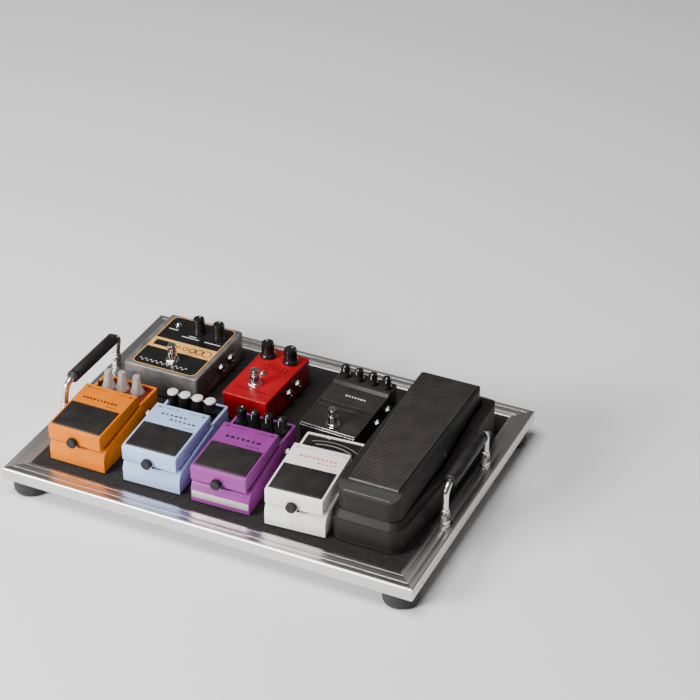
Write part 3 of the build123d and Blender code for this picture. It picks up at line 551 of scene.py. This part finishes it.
def grow_in(bm, tree, where, number=0, **sizes):
    """Run a tree with its sizes, put the plain result in place and add it to a mesh."""
    ob = bpy.data.objects.new("growing", bpy.data.meshes.new("growing"))
    bpy.context.scene.collection.objects.link(ob)
    mod = ob.modifiers.new("grow", "NODES")
    mod.node_group = tree
    for item in tree.interface.items_tree:
        key = item.name.replace(" ", "_")
        if item.in_out == "INPUT" and key in sizes:
            mod[item.identifier] = sizes[key]
    me = baked(ob)
    me.transform(where)
    before = len(bm.faces)
    bm.from_mesh(me)
    bm.faces.ensure_lookup_table()
    for f in bm.faces[before:]:
        f.material_index = number
    bpy.data.meshes.remove(me)


# ------------------------------------------------------------------ board
softened("front_rail", 0.35, M["alu_x"])
softened("rear_rail", 0.35, M["alu_x"])
softened("left_rail", 0.35, M["alu_y"])
softened("right_rail", 0.35, M["alu_y"])
softened("deck_carpet", 0.3, M["carpet"])
softened("deck_panel", 0.2, M["wood"])
softened("corner_plates", 0.2, M["zinc"])
softened("board_screws", 0.15, M["zinc"])
softened("handle_mounts", 0.35, M["satin"])
softened("hinge_pins", 0.2, M["zinc"])
softened("base_plates", 0.3, M["base"])

FOOT_IN, FOOT_R = 23.3, 21.0
bm = bmesh.new()
for sx in (-1, 1):
    for sy in (-1, 1):
        cx, cy = sx * (BOARD_W / 2 - FOOT_IN), sy * (BOARD_D / 2 - FOOT_IN)
        prof = [(2.1, 10.0), (6.0, 10.0), (6.0, 0.6), (6.5, 0.0), (15.5, 0.0)]
        prof += [(15.5 + 5.2 * sin(t), 5.2 - 5.2 * cos(t)) for t in [radians(15 * i) for i in range(1, 6)]]
        prof += [(20.75, 6.0), (FOOT_R, 18.6), (20.6, 19.8), (20.0, 20.3), (2.1, 20.3), (2.1, 10.0)]
        lathe(bm, cx, cy, prof, BOARD, 64)
piece("rubber_feet_turned", bm, "board", M["foot"], 40, ("rubber_feet",))

# ------------------------------------------------------------------ handles
HANDLE_IN, HY0, HY1 = 12.8, 119.0 - BOARD_D / 2, 239.7 - BOARD_D / 2
LEFT_LEAN = 9.0
H_TOP, H_PIVOT, ROD_R, BEND_R = 38.0 + 51.9, 38.0 + 13.2, 4.0, 13.0


def rod_path(y0, y1, z0, z1, bend, n=10):
    pts = [(y0, z0)]
    for i in range(n + 1):
        a = pi - i * pi / 2 / n
        pts.append((y0 + bend + bend * cos(a), z1 - bend + bend * sin(a)))
    for i in range(n + 1):
        a = pi / 2 - i * pi / 2 / n
        pts.append((y1 - bend + bend * cos(a), z1 - bend + bend * sin(a)))
    pts.append((y1, z0))
    return pts


def bent_rod(bm, hx, seg=28):
    pts = rod_path(HY0, HY1, H_PIVOT + 5.0, H_TOP, BEND_R)
    rows = []
    for k, (y, z) in enumerate(pts):
        a, b = pts[max(k - 1, 0)], pts[min(k + 1, len(pts) - 1)]
        ty, tz = b[0] - a[0], b[1] - a[1]
        s = hypot(ty, tz)
        ny, nz = -tz / s, ty / s
        rows.append([bm.verts.new(BOARD @ Vector((hx + ROD_R * cos(t), y + ROD_R * sin(t) * ny,
                                                  z + ROD_R * sin(t) * nz)))
                     for t in [2 * pi * i / seg for i in range(seg)]])
    for a, b in zip(rows, rows[1:]):
        for i in range(seg):
            bm.faces.new((a[i], a[(i + 1) % seg], b[(i + 1) % seg], b[i]))
    bm.faces.new(rows[0][::-1])
    bm.faces.new(rows[-1])


def lean(bm, side, hx):
    """The left handle rests leaning inward about its pins."""
    if side == "left":
        pin = Vector((hx, 0, H_PIVOT)) * MM
        bmesh.ops.rotate(bm, cent=pin, matrix=Matrix.Rotation(radians(LEFT_LEAN), 3, "Y"), verts=bm.verts)


def handle(side, hx):
    bm = bmesh.new()
    bent_rod(bm, hx)
    for hy in (HY0, HY1):
        lathe(bm, hx, hy, [(4.0, H_PIVOT + 6.5), (4.5, H_PIVOT + 6.5), (4.9, H_PIVOT + 6.9), (4.9, H_PIVOT + 8.7),
                           (4.5, H_PIVOT + 9.2), (4.0, H_PIVOT + 9.4)], BOARD, 36)
        eye = [(3.55 * cos(a), 3.55 * sin(a)) for a in [pi + i * pi / 12 for i in range(13)]]
        outline = [(x, z + H_PIVOT) for x, z in eye] + [(3.55, H_PIVOT + 6.5), (-3.55, H_PIVOT + 6.5)]
        lo = [bm.verts.new(BOARD @ Vector((hx + x, hy - 3.9, z))) for x, z in outline]
        hi = [bm.verts.new(BOARD @ Vector((hx + x, hy + 3.9, z))) for x, z in outline]
        bm.faces.new(lo)
        bm.faces.new(hi[::-1])
        for i in range(len(lo)):
            j = (i + 1) % len(lo)
            bm.faces.new((lo[i], hi[i], hi[j], lo[j]))
    bmesh.ops.recalc_face_normals(bm, faces=bm.faces)
    lean(bm, side, hx)
    piece(side + "_handle_rod", bm, side + "_handle", M["satin"], 40,
          (side + "_handle_bar",))
    bm = bmesh.new()
    a, b, r = HY0 + 12.5, HY1 - 12.5, 7.8
    prof = [(4.1, a), (6.2, a), (7.2, a + 0.5), (r, a + 1.8), (r, a + 6.0), (r - 0.25, a + 6.4), (r, a + 6.8)]
    prof += [(r, b - 6.8), (r - 0.25, b - 6.4), (r, b - 6.0), (r, b - 1.8), (7.2, b - 0.5), (6.2, b), (4.1, b)]
    lathe(bm, hx, H_TOP, prof, BOARD, 56, axis="Y")
    bmesh.ops.recalc_face_normals(bm, faces=bm.faces)
    lean(bm, side, hx)
    piece(side + "_handle_sleeve", bm, side + "_handle", M["grip"], 40,
          (side + "_handle_grip",))


handle("left", -BOARD_W / 2 + HANDLE_IN)
handle("right", BOARD_W / 2 - HANDLE_IN)

# ------------------------------------------------------------------ compact pedals
PAINT = {"distortion": "orange", "chorus": "blue", "flanger": "purple", "tuner": "white"}
INK = {"distortion": "ink_maroon", "chorus": "ink", "flanger": "ink", "tuner": "ink_orange"}
T0, T1 = 2.1, 70.9


def on_tread(pedal):
    """Frame lying on a treadle's sloping top: z is height over it."""
    slope = Matrix.Rotation(asin(4.0 / 84.39), 4, "X")
    return place(pedal) @ Matrix.Translation((0, 0.2, 51.9)) @ slope


def marks(bm, x0, x1, y0, y1, count, where, seed, lift=0.06, z=0.0, number=0):
    """One row of solid blocks of uneven width: a plain band, with no strokes that could spell anything."""
    tall, pitch = y1 - y0, (x1 - x0) / count
    at = where @ Matrix.Translation((x0 + pitch / 2, (y0 + y1) / 2, z + lift / 2))
    grow_in(bm, BARS, at, number, Count=count, Run=x1 - x0 - pitch, Bar_X=pitch * 0.8, Bar_Y=tall * 0.5, Bar_Z=lift,
            Vary_X=0.45, Seed=seed * 5)


def arrow(bm, x, y, size, way, where, z=0.0, lift=0.06):
    prism(bm, [(x, y - size / 2), (x + way * size, y), (x, y + size / 2)][::way], z, z + lift, where)
    slab(bm, min(x, x - way * size), max(x, x - way * size), y - size * 0.14, y + size * 0.14, z, z + lift, where)


def compact(pedal, seed):
    paint = M[PAINT[pedal]]
    softened(pedal + "_case", 0.9, paint, segments=3)
    softened(pedal + "_treadle", 1.0, paint, segments=3,
             pick=lambda low, high: None if high.x - low.x < 20 else 0)
    softened(pedal + "_pad", 0.5, M["pad"])
    # raised bars moulded near the pad's rear edge
    top = on_tread(pedal)
    bm = bmesh.new()
    grow_in(bm, BARS, top @ Matrix.Translation((21.5, 39.0, 1.45)), Count=9, Run=33.5, Bar_X=2.6, Bar_Y=5.0, Bar_Z=0.5,
            Vary_X=0.35, Vary_Y=0.3, Seed=seed)
    ring_strip(bm, rounded_outline(16.5, 60.0, 34.5, 43.5, 1.2, 2), rounded_outline(17.1, 59.4, 35.1, 42.9, 0.8, 2),
               1.2, 1.55,
               top)
    bmesh.ops.recalc_face_normals(bm, faces=bm.faces)
    piece(pedal + "_pad_moulding", bm, pedal + "_treadle", M["pad"], 30)
    # printed marks on the treadle's rear part
    bm = bmesh.new()
    if pedal == "distortion":
        marks(bm, 11, 58, 57, 63, 10, top, seed)
        marks(bm, 47, 60, 51.5, 54, 4, top, seed + 1)
    elif pedal == "chorus":
        marks(bm, 15, 50, 66, 71, 6, top, seed)
        marks(bm, 30, 64, 58.5, 63.5, 6, top, seed + 2)
        marks(bm, 54, 66, 51.5, 54, 4, top, seed + 1)
    elif pedal == "flanger":
        marks(bm, 14, 60, 58, 65, 7, top, seed)
        marks(bm, 44, 62, 51.5, 54, 4, top, seed + 1)
    else:
        marks(bm, 15, 62, 63, 68.5, 9, top, seed)
        marks(bm, 40, 64, 56.5, 61, 5, top, seed + 2)
        marks(bm, 54, 66, 51, 54, 4, top, seed + 1)
    arrow(bm, 9.5, 79.0, 3.4, -1, top)
    marks(bm, 14, 34, 78, 80.2, 7, top, seed + 5)
    arrow(bm, 66.0, 79.0, 3.4, -1, top)
    marks(bm, 47, 60, 78, 80.2, 5, top, seed + 6)
    bmesh.ops.recalc_face_normals(bm, faces=bm.faces)
    piece(pedal + "_treadle_print", bm, pedal + "_treadle", M[INK[pedal]], 30)
    # knurled thumbscrew head over the plain one
    bm = bmesh.new()
    prof = [(0.0, -8.7), (2.2, -8.75), (4.6, -9.0), (5.6, -8.7), (6.0, -8.1), (6.0, -3.5), (5.5, -2.9), (0.0, -2.9)]
    lathe(bm, 35.0, 36.6, prof, place(pedal), 48, axis="Y")
    head = place(pedal) @ Matrix.Translation((35.0, -5.8, 36.6)) @ Matrix.Rotation(pi / 2, 4, "X")
    grow_in(bm, RIDGES, head, Count=28, Radius=6.0, Depth=0.55, Width=0.62, Length=4.6)
    lathe(bm, 35.0, 36.6, [(0.0, -3.0), (1.98, -3.0), (1.98, 5.0), (0.0, 5.0)], place(pedal), 24, axis="Y")
    slab(bm, 41.0, 43.6, -4.6, -2.9, 31.4, 33.2, place(pedal))
    bmesh.ops.recalc_face_normals(bm, faces=bm.faces)
    piece(pedal + "_thumbscrew_head", bm, pedal + "_treadle", M["matt"], 30)


for k, name in enumerate(PAINT):
    compact(name, 11 + 7 * k)

for pedal, mat in (("distortion", "maroon"), ("chorus", "matt"), ("flanger", "matt")):
    bm = bmesh.new()
    here = place(pedal)
    slab(bm, 3.1, 69.9, 86.4, 124.9, 35.54, 35.95, here)
    ring_strip(bm, rounded_outline(3.1, 69.9, 86.4, 124.9, 0.3, 1), rounded_outline(3.5, 69.5, 86.8, 124.5, 0.2, 1),
               35.9,
               41.6, here)
    bmesh.ops.recalc_face_normals(bm, faces=bm.faces)
    piece(pedal + "_control_panel", bm, "board", M[mat], 30)

bm = bmesh.new()
here = place("flanger") @ Matrix.Rotation(radians(90), 4, "X")
slab(bm, 1.2, 71.8, 6.6, 15.6, 0.0, 0.35, here)
bmesh.ops.recalc_face_normals(bm, faces=bm.faces)
piece("flanger_silver_label", bm, "board", M["silver"], 30)

softened("tuner_display", 1.2, M["black"], segments=3)
bm = bmesh.new()
here = place("tuner")


def dome(y):
    """Height of the display window's top at length y."""
    pts = ((87.2, 40.5), (94.0, 43.5), (119.0, 44.5), (124.6, 42.0))
    for (y0, z0), (y1, z1) in zip(pts, pts[1:]):
        if y0 <= y <= y1:
            return z0 + (z1 - z0) * (y - y0) / (y1 - y0)
    return 42.0


for r, w, a0, a1 in ((64.0, 0.9, 58, 112), (58.0, 1.5, 62, 108)):
    n = 26
    for i in range(n):
        quad = []
        for rr, t in ((r, i), (r, i + 1), (r - w, i + 1), (r - w, i)):
            a = radians(a0 + (a1 - a0) * t / n)
            x, y = 36.5 + rr * cos(a), 52.0 + rr * sin(a) * 0.98
            y = min(max(y, 88.0), 124.0)
            quad.append(bm.verts.new(here @ Vector((x, y, dome(y) + 0.12))))
        bm.faces.new(quad[::-1])
grow_in(bm, BARS, here @ Matrix.Translation((18.0, 100.0, dome(100) + 0.06)), Count=17, Run=38.4, Bar_X=0.7, Bar_Y=3.2,
        Bar_Z=0.14, Vary_Y=0.4, Seed=3)
bmesh.ops.remove_doubles(bm, verts=bm.verts, dist=1e-7)
bmesh.ops.recalc_face_normals(bm, faces=bm.faces)
piece("tuner_display_marks", bm, "board", M["silver"], 30)

# ------------------------------------------------------------------ switch pedals
softened("echo_case", 0.4, M["echo"])
softened("compressor_case", 0.4, M["red"])
softened("stomp_case", 0.7, M["stomp"], segments=3)
softened("jack_sockets", 0.25, M["nickel"])
softened("switch_bushings", 0.35, M["chrome"])
softened("led_lenses", 0.15, [M["chrome"], M["matt"]], pick=lambda low, high: 0 if low.y > 0 else 1)

here = place("echo")
TOP = 38.3
bm = bmesh.new()
plate = rounded_outline(7.0, 96.5, 4.0, 118.0, 9.0, 8)
prism(bm, plate, TOP - 0.2, TOP + 0.25, here, 0)
ring_strip(bm, rounded_outline(7.6, 95.9, 4.6, 117.4, 8.6, 8), rounded_outline(8.6, 94.9, 5.6, 116.4, 7.8, 8),
           TOP + 0.2,
           TOP + 0.34, here, 1)
slab(bm, 8.2, 95.3, 44.0, 66.0, TOP + 0.2, TOP + 0.33, here, 1)
for i in range(5):
    # growing rings across the band
    x0 = 46.0 + i * 10.0
    r = 3.0 + i * 0.9
    ring_strip(bm, [(x0 + r * cos(a), 55 + r * sin(a)) for a in [2 * pi * k / 24 for k in range(24)]],
               [(x0 + (r - 1.3) * cos(a), 55 + (r - 1.3) * sin(a)) for a in [2 * pi * k / 24 for k in range(24)]],
               TOP + 0.3, TOP + 0.42, here, 0)
slab(bm, 13, 34, 49, 61, TOP + 0.3, TOP + 0.42, here, 0)
for x0, x1, y in ((14, 27, 88), (38, 62, 78), (70, 92, 78), (46, 56, 82)):
    slab(bm, x0, x1, y, y + 1.6, TOP + 0.2, TOP + 0.33, here, 2)
for i in range(60):
    a, b = 14 + i * 1.1, 14 + (i + 1) * 1.1
    ya, yb = 15 + 2.4 * sin(a * 0.9), 15 + 2.4 * sin(b * 0.9)
    prism(bm, [(a, ya - 0.55), (b, yb - 0.55), (b, yb + 0.55), (a, ya + 0.55)], TOP + 0.2, TOP + 0.33, here, 2)
bmesh.ops.recalc_face_normals(bm, faces=bm.faces)
piece("echo_faceplate", bm, "board", [M["black"], M["ink_tan"], M["ink_white"]], 30)

here = place("compressor")
TOP = 36.6
bm = bmesh.new()
ring_strip(bm, rounded_outline(19, 50, 66, 77, 2.5, 4), rounded_outline(20, 49, 67, 76, 1.8, 4), TOP, TOP + 0.1,
           here, 0)
marks(bm, 23, 46, 69, 74, 5, here, 5, 0.1, z=TOP)
marks(bm, 8, 50, 16, 20, 11, here, 9, 0.1, z=TOP)
# a darker maroon band along the bottom of the front face
slab(bm, -0.05, 60.55, -0.35, 0.3, 1.4, 4.2, here, 0)
bmesh.ops.recalc_face_normals(bm, faces=bm.faces)
piece("compressor_print", bm, "board", M["ink_maroon"], 30)

here = place("stomp")


bm = bmesh.new()
slope = here @ Matrix.Translation((0, 0, 32.0)) @ Matrix.Rotation(asin(6.0 / 84.2), 4, "X")
marks(bm, 26, 54, 66, 71, 7, slope, 21, 0.1)
for y in (38.0, 46.5):
    slab(bm, 3.4, 71.1, y, y + 5.2, -0.72, -0.6, slope, 1)
bmesh.ops.recalc_face_normals(bm, faces=bm.faces)
piece("stomp_print", bm, "board", [M["ink_white"], M["stomp_gloss"]], 30)
# painted highlight: a thin silver strip over the front top edge stands in for light on the bevel
bm = bmesh.new()
quad = [(1.5, -0.12, 29.7), (73.0, -0.12, 29.7), (73.0, 2.0, 32.25), (1.5, 2.0, 32.25)]
lo = [bm.verts.new(here @ Vector(q)) for q in quad]
hi = [bm.verts.new(here @ Vector((q[0], q[1] - 0.15, q[2] + 0.15))) for q in quad]
bm.faces.new(lo[::-1])
bm.faces.new(hi)
for i in range(4):
    bm.faces.new((lo[i], lo[(i + 1) % 4], hi[(i + 1) % 4], hi[i]))
bmesh.ops.recalc_face_normals(bm, faces=bm.faces)
piece("stomp_front_edge", bm, "board", M["silver"], 30)

# ------------------------------------------------------------------ wah
softened("wah_base", 0.8, M["crackle"], segments=3)
softened("wah_treadle", 1.4, M["crackle"], segments=3)
softened("wah_tread_rubber", 0.12, M["tread"])

here = place("wah")
WAH_BASE_PLAN = ((-44.5, 0.0), (42.0, 0.0), (50.4, 95.0), (53.4, 190.0), (53.4, 272.0), (-46.5, 272.0))


def wah_outline(out, r_front=16.0, r_rear=26.0, n=8):
    """The base's rounded outline, let out by a little."""
    pts, ring = WAH_BASE_PLAN, []
    for i, (x, y) in enumerate(pts):
        a, b = Vector(pts[i - 1]) - Vector((x, y)), Vector(pts[(i + 1) % 6]) - Vector((x, y))
        r = {0: r_front, 1: r_front, 4: r_rear, 5: r_rear}.get(i)
        if r is None:
            ring.append(Vector((x, y)))
            continue
        half = a.angle(b) / 2
        reach = r / tan(half)
        p, q = Vector((x, y)) + a.normalized() * reach, Vector((x, y)) + b.normalized() * reach
        c = Vector((x, y)) + (a.normalized() + b.normalized()).normalized() * (r / sin(half))
        t0, t1 = atan2(p.y - c.y, p.x - c.x), atan2(q.y - c.y, q.x - c.x)
        while t1 < t0:
            t1 += 2 * pi
        ring += [c + Vector((cos(t0 + (t1 - t0) * k / n), sin(t0 + (t1 - t0) * k / n))) * r for k in range(n + 1)]
    out_pts = []
    for i, v in enumerate(ring):
        d = (ring[(i + 1) % len(ring)] - ring[i - 1]).normalized()
        out_pts.append((v.x + d.y * out, v.y - d.x * out))
    return out_pts


bm = bmesh.new()
ring_strip(bm, wah_outline(0.45), wah_outline(-1.0), -0.02 + 1.2, 2.0, here)
bmesh.ops.recalc_face_normals(bm, faces=bm.faces)
piece("wah_base_trim", bm, "board", M["nickel"], 30)

bm = bmesh.new()
WAH_TREAD_Z = 73.0  # top of the rocker, where the mat lies
# painted shade: a flat matt-black strip along the mat's right edge stands in for the shade in a groove
prism(bm, [(32.1, 18.0), (35.0, 18.0), (37.0, 243.5), (34.6, 243.5)], WAH_TREAD_Z - 0.1, WAH_TREAD_Z + 0.12, here, 0)
for x0, x1, x2, x3 in ((31.5, 32.1, 34.6, 34.0), (-27.2, -26.5, -36.6, -37.3)):
    prism(bm, [(x0, 18.4), (x1, 18.4), (x2, 243.2), (x3, 243.2)], WAH_TREAD_Z, WAH_TREAD_Z + 1.9, here, 1)
# a lighter strip along the mat's front edge, in the pale edge colour
slab(bm, -27.2, 32.1, 18.0, 18.9, WAH_TREAD_Z, WAH_TREAD_Z + 2.0, here, 2)
bmesh.ops.recalc_face_normals(bm, faces=bm.faces)
piece("wah_mat_edges", bm, "wah_treadle", [M["matt"], M["tread"], M["wear_and_highlight_edge"]], 30)

# painted highlight: a pale strip along the treadle's front crease stands in for light catching the ledge
bm = bmesh.new()
prism(bm, [(-27.5, 6.2), (27.5, 6.2), (27.0, 7.3), (-27.0, 7.3)], 65.9, 66.75, here)
bmesh.ops.recalc_face_normals(bm, faces=bm.faces)
piece("wah_treadle_crease", bm, "wah_treadle", M["wear_and_highlight_edge"], 30)

# ------------------------------------------------------------------ knobs
KNOBS = {
    "distortion": ((14.2, 113.0), (31.4, 116.0), (51.5, 116.2)),
    "chorus": ((10.6, 107.5), (27.0, 107.5), (43.4, 107.5), (60.0, 107.5)),
    "flanger": ((10.4, 112.0), (27.7, 112.0), (45.0, 112.0), (62.4, 112.0)),
    "echo": ((54.0, 95.0), (82.5, 94.0)),
    "compressor": ((12.5, 92.5), (44.0, 92.5)),
    "stomp": ((10.4, 99.5), (28.8, 99.5), (47.4, 99.5), (65.6, 99.5)),
}
PROFILES = {
    "distortion": [(3.2, 36.2), (7.9, 36.2), (8.5, 36.8), (8.4, 39.4), (7.5, 42.0), (6.7, 45.5), (5.9, 49.5), (5.1,
            55.0),
                   (4.6, 59.6), (4.0, 60.4), (0.0, 60.5)],
    "chorus": [(3.2, 36.2), (6.7, 36.2), (7.0, 36.6), (7.0, 38.8), (6.1, 39.6), (5.9, 57.4), (5.9, 57.6)],
    "flanger": [(3.2, 36.2), (6.5, 36.2), (6.8, 36.6), (6.8, 38.6), (6.1, 39.6), (5.5, 57.6), (5.2, 58.9), (4.4, 59.4),
                (0.0, 59.5)],
    "echo": [(3.2, 39.0), (8.0, 39.0), (8.3, 39.4), (8.2, 41.0), (7.7, 41.8), (7.5, 43.0), (7.1, 58.8), (6.7, 60.0),
             (5.6, 60.4), (0.0, 60.2)],
    "compressor": [(3.2, 37.2), (9.8, 37.2), (10.2, 37.7), (10.1, 40.0), (9.0, 41.6), (8.0, 42.6), (7.5, 55.6),
                   (7.1, 57.0),
                   (5.8, 57.5), (0.0, 57.3)],
    "stomp": [(3.2, 41.6), (6.2, 41.6), (6.4, 41.9), (6.4, 44.6), (5.6, 45.6), (5.1, 54.4), (4.8, 55.6), (4.0, 56.0),
              (0.0, 56.0)],
}
# ridges: count, ring radius, depth, width, length, middle height
GRIPS = {"distortion": (12, 8.3, 0.5, 1.1, 2.6, 38.0), "chorus": (26, 5.98, 0.45, 0.55, 15.5, 48.4),
         "flanger": (24, 5.7, 0.5, 0.6, 15.5, 48.6), "echo": (30, 7.25, 0.45, 0.7, 15.0, 50.6),
         "compressor": (28, 7.7, 0.6, 0.8, 12.0, 48.8), "stomp": (22, 5.25, 0.45, 0.6, 7.6, 50.0)}
POINTER = {"flanger": (100, 250, 262, 250), "compressor": (140, 60), "echo": (90, 90), "stomp": (270, 250, 270, 290)}

for pedal, spots in KNOBS.items():
    for i, (x, y) in enumerate(spots):
        node = pedal + "_knob_" + str(i + 1)
        bm = bmesh.new()
        prof = PROFILES[pedal]
        mats = [M["clear"] if pedal == "distortion" else M["black"], M["cap"], M["ink_white"]]
        lathe(bm, x, y, prof, place(pedal), 72, 6 if pedal == "distortion" else 0, 0.5, 0, "Z", (4, 5, 6, 7, 8))
        count, ring, depth, width, length, lift = GRIPS[pedal]
        grow_in(bm, RIDGES, place(pedal) @ Matrix.Translation((x, y, 0)), 0, Count=count, Radius=ring, Depth=depth,
                Width=width, Length=length, Lift=lift)
        if pedal == "chorus":
            lathe(bm, x, y, [(5.9, 57.6), (6.4, 57.8), (6.5, 58.3), (6.5, 59.6), (6.2, 60.2), (5.5, 60.5), (0.0, 60.5)],
                  place(pedal), 72, mat=1)
        # bore up the shaft
        lathe(bm, x, y, [(0.0, 50.4), (3.1, 50.4), (3.1, prof[0][1]), (3.2, prof[0][1])], place(pedal), 72)
        if pedal in POINTER:
            a = radians(POINTER[pedal][i % len(POINTER[pedal])])
            turn = place(pedal) @ Matrix.Translation((x, y, 0)) @ Matrix.Rotation(a, 4, "Z")
            r, z = prof[-3][0], prof[-1][1]
            side = prof[-4][0]
            slab(bm, r * 0.25, r * 0.92, -0.55, 0.55, z - 0.3, z + 0.16, turn, 2)
            slab(bm, side - 0.9, side + 0.22, -0.55, 0.55, z - 13 if pedal != "stomp" else z - 6, z - 1.6, turn, 2)
        bmesh.ops.remove_doubles(bm, verts=bm.verts, dist=1e-7)
        bmesh.ops.recalc_face_normals(bm, faces=bm.faces)
        piece(node + "_turned", bm, node, mats, 40, (node,))

SWITCHES = {"echo": (54.5, 26.0, 52.0, 62.0), "compressor": (28.0, 31.0, 50.0, 58.0), "stomp": (39.0, 12.0, 46.0, 56.0)}
for pedal, (x, y, z1, z2) in SWITCHES.items():
    node = pedal + "_button"
    bm = bmesh.new()
    lathe(bm, x, y, [(0.0, z1 - 16), (4.3, z1 - 16), (4.3, z1 + 3.6), (5.0, z1 + 3.7), (5.4, z1 + 4.2), (5.4, z2 - 1.4),
                     (5.1, z2 - 0.6), (4.2, z2 - 0.12), (2.2, z2), (0.0, z2)], place(pedal), 64)
    bmesh.ops.remove_doubles(bm, verts=bm.verts, dist=1e-7)
    bmesh.ops.recalc_face_normals(bm, faces=bm.faces)
    piece(node + "_turned", bm, node, M["chrome"], 40, (node,))

# ------------------------------------------------------------------ stage and light
floor = bpy.data.meshes.new("studio_floor")
floor.from_pydata([(-6, -6, 0), (6, -6, 0), (6, 6, 0), (-6, 6, 0)], [], [(0, 1, 2, 3)])
floor_ob = bpy.data.objects.new("studio_floor", floor)
bpy.context.scene.collection.objects.link(floor_ob)
pale = bpy.data.materials.new("pale_floor")
pale.use_nodes = True
pale.node_tree.nodes["Principled BSDF"].inputs["Base Color"].default_value = (0.86, 0.86, 0.86, 1)
pale.node_tree.nodes["Principled BSDF"].inputs["Roughness"].default_value = 0.9
floor.materials.append(pale)

STUDIO_FILL = 0.12
world = bpy.data.worlds.new("studio")
world.use_nodes = True
world.node_tree.nodes["Background"].inputs[0].default_value = (1.0, 0.985, 0.97, 1)
world.node_tree.nodes["Background"].inputs[1].default_value = STUDIO_FILL
bpy.context.scene.world = world


def soft_light(name, at, look, size, power):
    data = bpy.data.lights.new(name, "AREA")
    data.shape = "RECTANGLE"
    data.size, data.size_y = size
    data.energy = power
    ob = bpy.data.objects.new(name, data)
    ob.location = at
    ob.rotation_euler = (Vector(look) - Vector(at)).to_track_quat("-Z", "Y").to_euler()
    bpy.context.scene.collection.objects.link(ob)


soft_light("key_box", (-1.5, -2.3, 1.25), (0, 0, 0), (1.2, 0.9), 150)
soft_light("top_box", (-0.3, -0.7, 2.6), (0, 0, 0), (1.8, 1.4), 80)
